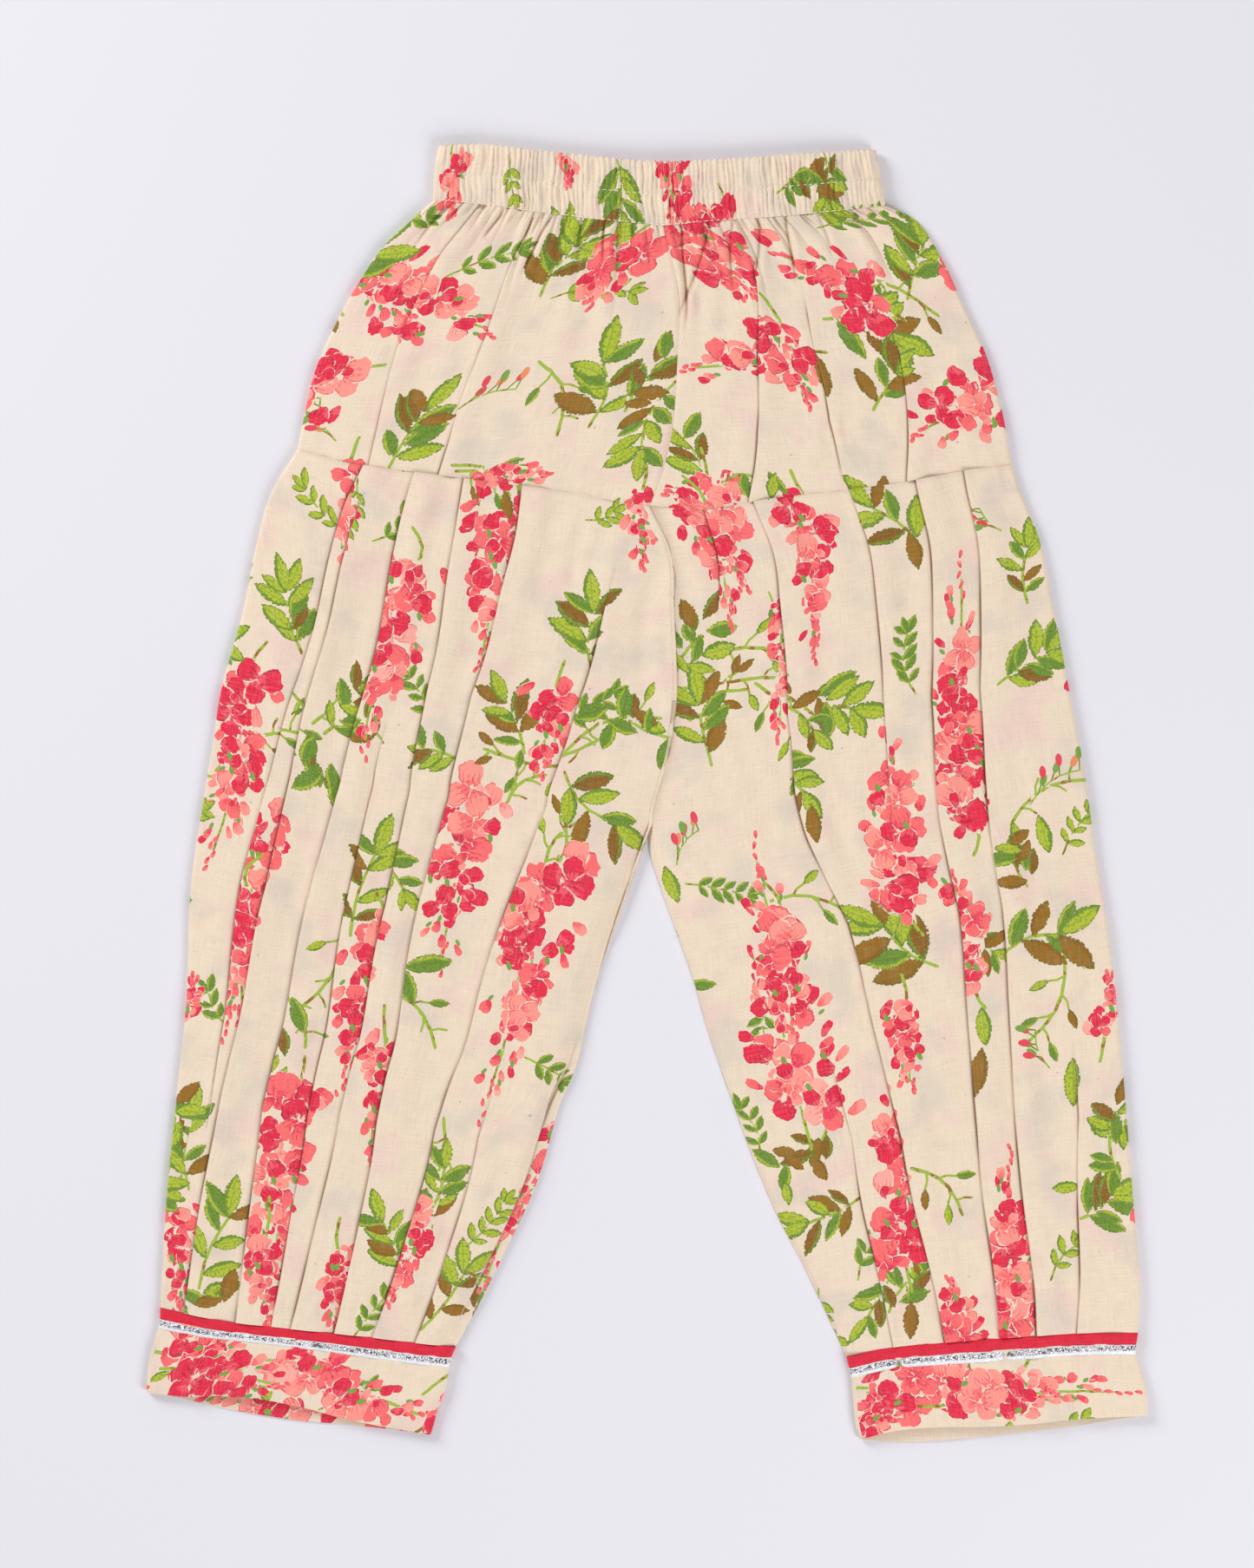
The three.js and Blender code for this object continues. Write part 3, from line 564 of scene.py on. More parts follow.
class Motif:
    """The shapes of one motif, from its foot at (0, 0) along +X: x, y, turn, half length, half width, ink."""

    def __init__(self, length, width, seed):
        self.length, self.width = length, width
        self.random = np.random.default_rng(seed)
        self.shapes = []

    def add(self, x, y, turn, length, width, ink):
        self.shapes.append((x, y, turn, length / 2, width / 2, INKS[ink][0]))

    def stem(self, x0, y0, x1, y1, bow, width, ink="stem", pieces=5):
        """A bowed stem in short straight lengths. Returns its points."""
        share = np.linspace(0, 1, pieces + 1)
        x = x0 + (x1 - x0) * share - (y1 - y0) * bow * np.sin(math.pi * share)
        y = y0 + (y1 - y0) * share + (x1 - x0) * bow * np.sin(math.pi * share)
        for a, b, c, d in zip(x, y, x[1:], y[1:]):
            turn, long = math.atan2(d - b, c - a), math.hypot(c - a, d - b) + width
            self.add((a + c) / 2, (b + d) / 2, turn, long, width, ink)
        return np.stack([x, y], 1)

    def leaf(self, x, y, turn, length, width, ink):
        self.add(x + math.cos(turn) * length / 2, y + math.sin(turn) * length / 2, turn, length, width, ink)

    def blossom(self, x, y, size, ink):
        """A flower seen open, from its side, or as two broad lobes with a dark keel before them."""
        kind, start = self.random.random(), self.random.uniform(0, 6.28)
        if kind < 0.4:
            count = int(self.random.integers(3, 5))
            rows = [(start + i * 2 * math.pi / count, 0.3, 0.6, 0.54) for i in range(count)]
        elif kind < 0.8:
            rows = [(start - 0.6, 0.27, 0.66, 0.5), (start + 0.6, 0.27, 0.66, 0.5), (start, 0.06, 0.34, 0.22)]
        else:
            rows = [(start, 0.05, 0.78, 0.7), (start + 2.4, 0.38, 0.4, 0.24), (start - 2.4, 0.38, 0.4, 0.24)]
        for i, (turn, off, long, wide) in enumerate(rows):
            turn += self.random.uniform(-0.25, 0.25)
            long *= size * self.random.uniform(0.85, 1.15)
            petal = ink if self.random.random() < 0.75 else self.random.choice(PETAL_INKS[:3])
            petal = "crimson" if wide < 0.23 else petal
            self.add(
                x + math.cos(turn) * size * off, y + math.sin(turn) * size * off, turn,
                long, wide * size * self.random.uniform(0.85, 1.15), petal,
            )

    def raceme(self):
        """A hanging cluster: full blossoms at its foot, then single petals, then small buds at its tip."""
        length, width = self.length, self.width * 1.12
        self.stem(-16, self.random.uniform(-6, 6), 6, 0, self.random.uniform(-0.3, 0.3), 1.7)
        self.stem(0, 0, length * 0.96, 0, self.random.uniform(-0.03, 0.03), 1.3, pieces=8)
        for share in self.random.permutation(np.linspace(0.0, 0.92, int(length * 0.26) + 2)):
            off = self.random.uniform(-0.5, 0.5) * width * (1.1 - 0.75 * share)
            size = 10.5 - 4.5 * share
            lean = off / width * 2.2 + self.random.uniform(-0.4, 0.4)
            ink = self.random.choice(PETAL_INKS, p=[0.28, 0.36, 0.33, 0.03])
            self.add(share * length, off, lean, size, size * self.random.uniform(0.42, 0.75), ink)
            if share > 0.4 and self.random.random() < 0.6:
                self.add(share * length - size * 0.6, off * 0.9, lean, 3.6, 1.9, "green bud")
        size = min(width * 0.62, 23)
        for share in self.random.permutation(np.linspace(0.03, 0.68, int(length * 0.085) + 2)):
            off = self.random.uniform(-0.27, 0.27) * width * (1 - 0.6 * share)
            ink = self.random.choice(PETAL_INKS, p=[0.36, 0.3, 0.28, 0.06])
            self.blossom(share * length, off, size * (1 - 0.42 * share), ink)
        for share in self.random.uniform(0.0, 0.6, int(length * 0.03) + 1):
            off = self.random.uniform(-0.42, 0.42) * width * (1 - 0.6 * share)
            dark_petal = size * self.random.uniform(0.36, 0.46)
            self.add(share * length, off, self.random.uniform(0, 3), dark_petal, dark_petal * 0.9, "crimson")
            self.add(share * length + dark_petal * 0.6, off, 0.4, 4.4, 2.4, "green bud")
        for share in np.linspace(0.9, 1.06, 5):
            off, turn = self.random.uniform(-2, 2), self.random.uniform(-0.5, 0.5)
            self.add(share * length, off, turn, 4.2, 2.0, "coral")

    def spray(self):
        """Large leaves by turns on both sides of a stem, with one at its tip."""
        length, width = self.length, self.width
        points = self.stem(0, 0, length * 0.75, 0, self.random.uniform(-0.15, 0.15), 1.6)
        inks = ["lime", "green", "green", "olive", "brown", "lime"]
        side = self.random.choice([-1, 1])
        for x, y in points[1:]:
            for way in (side, -side)[: 1 + (self.random.random() < 0.55)]:
                turn = way * self.random.uniform(0.6, 1.1)
                long = min(width * 0.62, 26) * self.random.uniform(0.75, 1.1)
                self.leaf(x, y, turn, long, long * self.random.uniform(0.36, 0.48), self.random.choice(inks))
            side = -side
        x, y = points[-1]
        self.leaf(x, y, self.random.uniform(-0.3, 0.3), min(width * 0.65, 26), min(width * 0.26, 10), "lime")

    def cluster(self):
        """A close bunch of dark and bright leaves over one another."""
        length, width = self.length, self.width
        self.stem(-length * 0.3, 0, length * 0.6, 0, 0.1, 1.6)
        for share in np.linspace(0, 1, max(6, int(width / 3.2))):
            turn = self.random.uniform(-1.5, 1.5)
            long = self.random.uniform(12, 19)
            ink = self.random.choice(["olive", "green", "brown", "green", "lime"])
            off = self.random.uniform(-0.3, 0.3) * width
            self.leaf(share * length - 4, off * 0.5, turn, long, long * self.random.uniform(0.4, 0.55), ink)

    def sprig(self):
        """Small leaves in pairs on a thin stem."""
        length, bow = self.length, self.random.uniform(-0.15, 0.15)
        points = self.stem(0, 0, length, 0, bow, 1.1, pieces=max(3, int(length / 6)))
        ink = self.random.choice(["lime", "green"])
        for x, y in points[1:]:
            for way in (-1, 1):
                long = self.random.uniform(7.5, 10.5)
                self.leaf(x, y, way * self.random.uniform(0.6, 0.95), long, long * 0.46, ink)
        self.leaf(*points[-1], 0.1, 9, 4, ink)

    def buds(self):
        """A thin stem with single buds on short stalks."""
        length = self.length
        points = self.stem(0, 0, length, 0, 0.12, 0.9, pieces=6)
        for i, (x, y) in enumerate(points[1:]):
            way, reach = (1 if i % 2 else 0.55), self.random.uniform(6, 9)
            dx, dy = math.cos(way) * reach, math.sin(way) * reach
            self.add(x + dx / 2, y + dy / 2, way, reach, 0.8, "twig")
            ink = self.random.choice(["red bud", "orange bud", "red bud", "green bud"])
            self.add(x + dx, y + dy, way, 6.2, 3.4, ink)

    def vine(self):
        """A long bowed twig with a few leaves."""
        length = self.length
        points = self.stem(0, 0, length, 0, 0.16, 1.7, pieces=max(5, int(length / 9)))
        for i, (x, y) in enumerate(points[1:-1]):
            way = 1 if i % 2 else -1
            end_x, end_y = x + 5, y + way * 6
            self.stem(x, y, end_x, end_y, 0.1, 1.2, pieces=2)
            if self.random.random() < 0.6:
                self.leaf(end_x, end_y, way * 0.8, 11, 4.6, self.random.choice(["lime", "green", "brown"]))


LIES_LOW = {"vine": 0, "sprig": 1, "buds": 1, "spray": 2, "cluster": 3}  # the other kinds lie on top


def print_shapes():
    """All motifs of the front as rows of shapes in garment millimetres, motif by motif."""
    motifs = []
    for seed, (kind, x, y, way, length, width) in enumerate(MOTIFS):
        motif = Motif(length, width, seed + 11)
        if kind.startswith("leaf"):
            motif.leaf(0, 0, 0, length, min(length * 0.42, 10), kind.split()[1])
        else:
            getattr(motif, kind)()
        way = math.radians(way)
        rows = [
            (
                x + math.cos(way) * a - math.sin(way) * b, y + math.sin(way) * a + math.cos(way) * b,
                way + turn, long, wide, ink,
            )
            for a, b, turn, long, wide, ink in motif.shapes
        ]
        middle = (x + math.cos(way) * length / 2, y + math.sin(way) * length / 2)
        motifs.append((kind, middle, max(length, width), rows))
    return sorted(motifs, key=lambda motif: LIES_LOW.get(motif[0], len(LIES_LOW)))


PRINT = print_shapes()


# x of the middle seams, past which a half has none of the other half's print. The front's bows.
FRONT_MIDDLE = 9
BACK_MIDDLE = 1.5


def flat_shapes(xy, flat, right, grain, mirrored, half):
    """The print's shapes as they lie on the flat cloth of a panel. xy and flat are the places of its
    corners on the garment and on the cloth, and right and grain the cloth's two ways on the garment. half
    is -1 or 1 for a panel on the left or right of the middle seam, where the print breaks off, or 0."""
    shapes = []
    for kind, middle, size, rows in PRINT:
        middle = np.array([-middle[0] if mirrored else middle[0], middle[1]])
        if half * (middle[0] - (BACK_MIDDLE if mirrored else FRONT_MIDDLE)) < 0:
            continue
        gap = np.hypot(*(xy - middle).T)
        nearest = int(gap.argmin())
        if gap[nearest] > size * 0.62 + 8:
            continue
        for x, y, turn, long, wide, ink in rows:
            if mirrored:
                x, turn = -x, math.pi - turn
            off = np.array([x, y]) - xy[nearest]
            ahead, aside = (math.cos(turn), math.sin(turn)), (-math.sin(turn), math.cos(turn))
            shapes.append(
                (
                    *(flat[nearest] + [off @ right, off @ grain]),
                    np.dot(ahead, right), np.dot(ahead, grain), np.dot(aside, right), np.dot(aside, grain),
                    long, wide, ink,
                )
            )
    return np.array(shapes)


def print_on(mesh, shapes):
    """Gives each cell the shapes that cross it, topmost first, as the cell's corners see them."""
    flat = np.empty(len(mesh.loops) * 2)
    mesh.uv_layers["cloth"].data.foreach_get("uv", flat)
    corners = flat.reshape(-1, 4, 2) / MM
    middle = corners.mean(1)
    reach = np.abs(corners - middle[:, None]).max((1, 2))
    stack = np.full((len(middle), PRINT_LAYERS), -1)
    for number, (x, y, ax, ay, bx, by, long, wide, ink) in enumerate(shapes):
        dx, dy = middle[:, 0] - x, middle[:, 1] - y
        near = np.flatnonzero((np.abs(dx) < long + 4) & (np.abs(dy) < long + 4))
        ahead = np.abs(dx[near] * ax + dy[near] * ay) - reach[near]
        aside = np.abs(dx[near] * bx + dy[near] * by) - reach[near]
        hit = near[np.hypot(np.maximum(ahead, 0) / long, np.maximum(aside, 0) / wide) < 1.3]
        stack[hit, 1:] = stack[hit, :-1]
        stack[hit, 0] = number
    nothing = np.array([[1e3, 1e3, 1, 0, 0, 1, 1, 1, 0]])
    table = np.vstack([shapes, nothing]) if len(shapes) else nothing
    for layer in range(PRINT_LAYERS):
        place, ahead, aside, size, ink = np.split(table[stack[:, layer]], [2, 4, 6, 8], axis=1)
        off = corners - place[:, None]
        x = (off * ahead[:, None]).sum(2) / size[:, :1]
        y = (off * aside[:, None]).sum(2) / size[:, 1:]
        data = np.stack([np.clip(x, -9, 9), np.clip(y, -9, 9), np.repeat(ink, 4, 1)], -1)
        mesh.attributes.new(f"print_{layer + 1}", "FLOAT_VECTOR", "CORNER").data.foreach_set(
            "vector", data.astype(np.float32).ravel()
        )


def feed(tree, value, socket):
    """Gives a node's socket a number, a colour or what another socket holds."""
    if isinstance(value, (int, float, tuple)):
        socket.default_value = value
    else:
        tree.links.new(getattr(value, "socket", value), socket)


def math_node(tree, operation, *values):
    made = tree.nodes.new("ShaderNodeMath")
    made.operation = operation
    for socket, value in zip(made.inputs, values):
        feed(tree, value, socket)
    return Value(tree, made.outputs[0])


class Value:
    """A number in a shader. Each sum with it adds a Math node."""

    def __init__(self, tree, socket):
        self.tree, self.socket = tree, socket

    def math(self, operation, *others):
        return math_node(self.tree, operation, self, *others)

    def __add__(self, other):
        return self.math("ADD", other)

    def __sub__(self, other):
        return self.math("SUBTRACT", other)

    def __rsub__(self, other):
        return math_node(self.tree, "SUBTRACT", other, self)

    def __mul__(self, other):
        return self.math("MULTIPLY", other)

    def __pow__(self, other):
        return self.math("POWER", other)

    def __abs__(self):
        return self.math("ABSOLUTE")

    def between(self, low, high):
        """0 at low and 1 at high, smooth between them."""
        made = self.tree.nodes.new("ShaderNodeMapRange")
        made.interpolation_type = "SMOOTHSTEP"
        made.inputs["From Min"].default_value = low
        made.inputs["From Max"].default_value = high
        feed(self.tree, self, made.inputs["Value"])
        return Value(self.tree, made.outputs[0])


def blend(tree, share, low, high, way="MIX"):
    """A Mix node of two colours, each a socket or a colour."""
    made = tree.nodes.new("ShaderNodeMix")
    made.data_type = "RGBA"
    made.blend_type = way
    for socket, value in ((made.inputs[0], share), (made.inputs[6], low), (made.inputs[7], high)):
        feed(tree, value, socket)
    return made.outputs[2]


def noise(tree, vector, scale, detail=2.0, stretch=(1, 1, 1), shift=(0, 0, 0)):
    """A Noise texture of an even scale to the metre."""
    mapping = tree.nodes.new("ShaderNodeMapping")
    mapping.inputs["Scale"].default_value = stretch
    mapping.inputs["Location"].default_value = shift
    tree.links.new(vector, mapping.inputs["Vector"])
    made = tree.nodes.new("ShaderNodeTexNoise")
    made.inputs["Scale"].default_value = scale
    made.inputs["Detail"].default_value = detail
    tree.links.new(mapping.outputs[0], made.inputs["Vector"])
    return Value(tree, made.outputs[0])


def parts(tree, vector):
    made = tree.nodes.new("ShaderNodeSeparateXYZ")
    tree.links.new(vector, made.inputs[0])
    return [Value(tree, socket) for socket in made.outputs]


def attribute(tree, name, output):
    made = tree.nodes.new("ShaderNodeAttribute")
    made.attribute_name = name
    return made.outputs[output]


def new_material(name, roughness):
    """A material, its tree and its shader."""
    material = bpy.data.materials.new(name)
    material.use_nodes = True
    shader = material.node_tree.nodes["Principled BSDF"]
    shader.inputs["Roughness"].default_value = roughness
    return material, material.node_tree, shader


def flat_cloth(tree):
    """The place on the flat cloth, in metres."""
    made = tree.nodes.new("ShaderNodeUVMap")
    made.uv_map = "cloth"
    return made.outputs[0]


def slubs_of(tree, flat, long):
    """The uneven threads of a plain weave, both ways. long is how many slubs a metre of thread has."""
    return noise(tree, flat, 1, 2, (1500, long, 1)) + noise(tree, flat, 1, 2, (long, 1500, 1))


def surface(tree, shader, colour, height, strength, distance):
    """Gives the shader its colour and its bump."""
    tree.links.new(colour, shader.inputs["Base Color"])
    bump = tree.nodes.new("ShaderNodeBump")
    bump.inputs["Strength"].default_value = strength
    bump.inputs["Distance"].default_value = distance
    feed(tree, height, bump.inputs["Height"])
    tree.links.new(bump.outputs[0], shader.inputs["Normal"])


CREAM = linear(240, 220, 194)
INK_STEPS = 50


def ink_colour(tree, ink, tone):
    """The colour of an ink number: tone 1 is the ink, 2 its second tone and 3 its outline."""
    ramp = tree.nodes.new("ShaderNodeValToRGB")
    ramp.color_ramp.interpolation = "CONSTANT"
    rows = sorted(INKS.values())
    for i, row in enumerate(rows):
        stop = ramp.color_ramp.elements[i] if i < 2 else ramp.color_ramp.elements.new(1)
        stop.position = (row[0] - 0.5) / INK_STEPS
        stop.color = linear(*row[tone])
    feed(tree, ink.math("DIVIDE", INK_STEPS), ramp.inputs[0])
    return ramp.outputs[0]


def print_layer():
    """One layer of the print over what lies below it. Place is a shape's own x and y, -1 to 1, and ink."""
    tree = bpy.data.node_groups.new("print layer", "ShaderNodeTree")
    inputs = {"Below": "Color", "Place": "Vector", "Wobble": "Vector", "Grain": "Float", "Teeth": "Float"}
    for name, kind in inputs.items():
        tree.interface.new_socket(name, in_out="INPUT", socket_type=f"NodeSocket{kind}")
    tree.interface.new_socket("Color", in_out="OUTPUT", socket_type="NodeSocketColor")
    given = tree.nodes.new("NodeGroupInput").outputs
    x, y, ink = parts(tree, given["Place"])
    wobble_x, wobble_y, wobble_z = parts(tree, given["Wobble"])
    grain, teeth = Value(tree, given["Grain"]), Value(tree, given["Teeth"])
    kind = (ink * 0.1 + 0.02).math("FLOOR")
    petal, leaf, stem = (kind.math("COMPARE", number, 0.3) for number in (1, 2, 3))

    # How far inside the shape a place lies: a petal is fanned and notched, a leaf pointed and jagged
    x = x + wobble_x * (petal * 0.55 + 0.16)
    y = y + wobble_y * (petal * 0.55 + stem * 1.1 + 0.2)
    aside = abs(y)
    inside = (1 - abs(x) ** (stem * 6 + 2)).math("MAXIMUM", 0)
    half_width = inside ** (leaf * 0.42 + 0.5) * (x * petal * 0.24 + 1)
    notch = x.between(0.35, 1) * (1 - aside.between(0, 0.4)) * petal
    jagged = (0.56 - teeth).math("MAXIMUM", 0)
    depth = half_width - aside - notch * 0.5 - jagged * (leaf * 0.4 + 0.15)

    # The second tone: at a petal's foot, and on one side and along the edge of a leaf
    petal_tone = wobble_z * 2.4 - x * 0.7
    leaf_tone = wobble_z + y * 0.6 - depth * 1.5 + teeth * 1.1 + 0.1
    tone = petal_tone * petal + leaf_tone * leaf + wobble_x * 3.5 * stem + grain * 0.7 - 0.35
    colour = blend(tree, tone.between(0.15, 0.35), ink_colour(tree, ink, 1), ink_colour(tree, ink, 2))

    # Drawn in the third: a broken outline, veins at a petal's foot, rows of dots and a leaf's stipple
    side = (wobble_z * 3 + y).between(0.1, 0.4).math("MAXIMUM", leaf)
    outline = (1 - depth.between(0.08, 0.2)) * side * grain.between(0.36, 0.52)
    rib = leaf * (0.5 - aside.between(0.03, 0.12))
    near_foot = 1 - (wobble_z * 3 + x).between(-0.4, 0.5)
    lines = (y * 15 + wobble_x * 8).math("SINE").between(0.5, 0.85)
    vein = lines * near_foot * petal * grain.between(0.3, 0.6)
    stipple = teeth.between(0.56, 0.62) * leaf * 0.55
    drawn = outline.math("MAXIMUM", rib).math("MAXIMUM", vein.math("MAXIMUM", stipple))
    colour = blend(tree, drawn * 0.85, colour, ink_colour(tree, ink, 3))

    # A petal keeps a little bare cloth round it, not all the way
    halo = depth.between(-0.17, -0.1) * wobble_z.between(-0.05, 0.07) * petal
    below = blend(tree, halo, given["Below"], CREAM)
    result = tree.nodes.new("NodeGroupOutput")
    tree.links.new(blend(tree, depth.between(-0.02, 0.06), below, colour), result.inputs[0])
    return tree


PRINT_LAYER = print_layer()


def printed_cotton(name, fade):
    """The printed cloth. fade is how pale its print is, as on its wrong side."""
    material, tree, shader = new_material(name, 0.86)
    flat = flat_cloth(tree)
    slubs = slubs_of(tree, flat, 90)
    ground = CREAM
    for value, low, high, most, colour in (
        (noise(tree, flat, 34), 0.5, 0.68, 0.62, (238, 204, 192)),  # the print of the layer below, pink
        (noise(tree, flat, 38, shift=(3.1, 1.7, 0)), 0.5, 0.68, 0.55, (216, 205, 188)),  # and grey
        (slubs, 0.98, 1.22, 0.28, (214, 192, 166)),  # thick threads
        (slubs, 0.9, 0.7, 0.35, (248, 234, 214)),  # thin threads
        (noise(tree, flat, 330, 0), 0.86, 0.89, 0.4, (140, 140, 150)),  # flecks
    ):
        ground = blend(tree, value.between(low, high) * most, ground, linear(*colour))

    # The print, from its lowest layer up
    grain, teeth = noise(tree, flat, 1500, 1), noise(tree, flat, 800, 0)
    wobble = tree.nodes.new("ShaderNodeVectorMath")
    wobble.operation = "SUBTRACT"
    wobble.inputs[1].default_value = (0.5, 0.5, 0.5)
    tree.links.new(noise(tree, flat, 215, 3).socket.node.outputs["Color"], wobble.inputs[0])
    colour = ground
    for layer in range(PRINT_LAYERS, 0, -1):
        group = tree.nodes.new("ShaderNodeGroup")
        group.node_tree = PRINT_LAYER
        for socket, value in (
            ("Below", colour), ("Place", attribute(tree, f"print_{layer}", "Vector")),
            ("Wobble", wobble.outputs[0]), ("Grain", grain), ("Teeth", teeth),
        ):
            feed(tree, value, group.inputs[socket])
        colour = group.outputs[0]
    # Threads show through the ink
    colour = blend(tree, slubs.between(0.95, 1.25) * 0.1, colour, ground)
    if fade:
        colour = blend(tree, fade, colour, ground)

    # Where a fold shades the cloth beside it, the shade is warm
    colour = blend(tree, attribute(tree, "shade", "Fac"), colour, linear(158, 118, 82), "MULTIPLY")
    surface(tree, shader, colour, slubs, 0.35, 0.0003)
    shader.inputs["Sheen Weight"].default_value = 0.12
    shader.inputs["Sheen Roughness"].default_value = 0.5
    return material


COTTON = printed_cotton("printed cotton", 0)
COTTON_WRONG_SIDE = printed_cotton("printed cotton, wrong side", 0.6)
FOLD_STEPS = 7  # cells round a side fold


def wrapped(front, back, v, shares, tops, folds, back_count, lift):
    """The corners of a cloth wrapped over a flat form, row by row: the front from left to right, the side
    folds, and the back. Returns them with the columns of the front and of the back."""
    rows = v[:, None]
    face = np.concatenate([front(shares, rows), tops[..., None]], -1)

    def fold(side):
        edge = front(float(side), v)
        inwards = front(0.98 if side else 0.02, v) - edge
        inwards /= np.linalg.norm(inwards, axis=1)[:, None]
        radius = (tops[:, -1 if side else 0] / 2)[:, None]
        angle = math.pi * np.arange(1, FOLD_STEPS)[None] / FOLD_STEPS
        out = (radius - radius * np.sin(angle))[..., None]
        flat = edge[:, None] + inwards[:, None] * out
        return np.concatenate([flat, (radius + radius * np.cos(angle))[..., None]], -1)

    high, low = shares[:, -1:], shares[:, :1]
    under = high + (low - high) * np.linspace(0, 1, back_count + 1)
    under_xy = back(under, rows)
    base = np.concatenate([under_xy, lift(under_xy)[..., None]], -1)
    strips = [base, fold(0)[:, ::-1], face] if folds == "left" else [face, fold(1), base]
    if folds == "both":
        strips += [fold(0)[:, ::-1], face[:, :1]]
    start = strips[0].shape[1] + FOLD_STEPS - 1
    first, last = slice(0, strips[0].shape[1]), slice(start, start + strips[2].shape[1])
    places = np.concatenate(strips, 1)
    return (places, last, first) if folds == "left" else (places, first, last)


def resting(seed):
    """The slight waves of the underside, which rests on the floor."""

    def lift(xy):
        rise = 0.12 + 0.1 * waves(xy[..., 0], xy[..., 1], seed, 45, 90) + 0.5 * creased(xy, mirrored=True)
        return np.clip(rise, 0, 0.8)

    return lift


def sheet_mesh(name, places, flat):
    """Cells with their corners at places, row by row, and with those of flat as the cloth's own place.
    Returns the mesh, and the row and column of each corner."""
    rows, columns = places.shape[0] - 1, places.shape[1] - 1
    bm = bmesh.new()
    bmesh.ops.create_grid(bm, x_segments=columns, y_segments=rows, size=0.5)
    mesh = bpy.data.meshes.new(name)
    bm.to_mesh(mesh)
    bm.free()
    grid = np.empty(len(mesh.vertices) * 3)
    mesh.vertices.foreach_get("co", grid)
    x, y, _ = grid.reshape(-1, 3).T
    row, column = np.rint((0.5 - y) * rows).astype(int), np.rint((x + 0.5) * columns).astype(int)
    moved = places[row, column] + (*SHIFT, OFF_FLOOR)
    mesh.vertices.foreach_set("co", (moved * MM).ravel())
    corner = np.empty(len(mesh.loops), int)
    mesh.loops.foreach_get("vertex_index", corner)
    mesh.uv_layers.new(name="cloth").data.foreach_set("uv", (flat[row, column] * MM)[corner].ravel())
    return mesh, row, column


def merge_ends(mesh):
    """Joins a band's first and last cells, so that it goes all round."""
    bm = bmesh.new()
    bm.from_mesh(mesh)
    bmesh.ops.remove_doubles(bm, verts=bm.verts, dist=0.02 * MM)
    bm.to_mesh(mesh)
    bm.free()


def new_piece(name, mesh, thickness):
    """The mesh as a piece of cloth whose outside it is."""
    mesh.polygons.foreach_set("use_smooth", [True] * len(mesh.polygons))
    piece = bpy.data.objects.new(name, mesh)
    bpy.context.collection.objects.link(piece)
    if thickness:
        wall = piece.modifiers.new("cloth", "SOLIDIFY")
        wall.thickness = thickness * MM
        wall.offset = -1
        wall.material_offset = len(mesh.materials) - 1
    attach(piece, "root")
    return piece


def cloth_piece(
    name, places, face, base, shown, shade, grain, half=0, thickness=CLOTH, closed=False, even=False
):
    """A sheet with its corners at places, its own flat cloth, print and thickness. face and base are its
    front and back columns, shown those of the face that are seen, shade the shade of the face, grain the
    way that the cloth's length runs on the garment, and half as in flat_shapes. even says that each column
    keeps its place across the cloth, as in gathers. Returns the object."""
    grain = np.array(grain, float) / math.hypot(*grain)
    right = np.array([-grain[1], grain[0]])
    middle = (face.start + face.stop) // 2
    ways = places[:, face.stop - 1, :2] - places[:, face.start, :2]
    way = ways.mean(0) / np.linalg.norm(ways.mean(0))
    lower = places * (1, 1, 0.3)  # small waves up and down leave the print as it lies
    reach = np.cumsum(np.linalg.norm(np.diff(lower, axis=1, prepend=lower[:, :1]), axis=2), axis=1)
    reach -= reach[:, middle : middle + 1]
    if even:
        reach[:] = reach[: len(reach) // 2].mean(0) * 1.5  # gathers take up a third
    spine = places[:, middle, :2]
    down = np.cumsum(np.linalg.norm(np.diff(spine, axis=0, prepend=spine[:1]), axis=1))
    aside = (places[..., :2] - spine[:, None]) @ way
    flat = np.stack([reach * (way @ right), down[:, None] + aside * (way @ grain)], -1)

    mesh, row, column = sheet_mesh(name, places, flat)
    ends = np.empty(len(mesh.edges) * 2, int)
    mesh.edges.foreach_get("vertices", ends)
    ends = ends.reshape(-1, 2)
    rim = np.zeros(len(ends), bool)
    for at, last in ((row[ends], len(places) - 1), (column[ends], places.shape[1] - 1)):
        rim |= ((at % last == 0) & (at == at[:, :1])).all(1)
    mesh.attributes.new("sharp_edge", "BOOLEAN", "EDGE").data.foreach_set("value", rim)
    shades = np.zeros(places.shape[:2], np.float32)
    shades[:, face] = shade
    mesh.attributes.new("shade", "FLOAT", "POINT").data.foreach_set("value", shades[row, column])
    face_columns = np.arange(face.start, face.stop)[shown]
    shapes = []
    for columns, way_right, mirrored in ((face_columns, right, False), (base, -right, True)):
        side_xy, side_flat = (a[:, columns].reshape(-1, 2) for a in (places[..., :2], flat))
        shapes.append(flat_shapes(side_xy, side_flat, way_right, grain, mirrored, half))
    print_on(mesh, np.vstack([rows for rows in shapes if len(rows)]))
    if closed:
        merge_ends(mesh)
    mesh.materials.append(COTTON)
    mesh.materials.append(COTTON_WRONG_SIDE)
    piece = new_piece(name, mesh, thickness)
    return piece


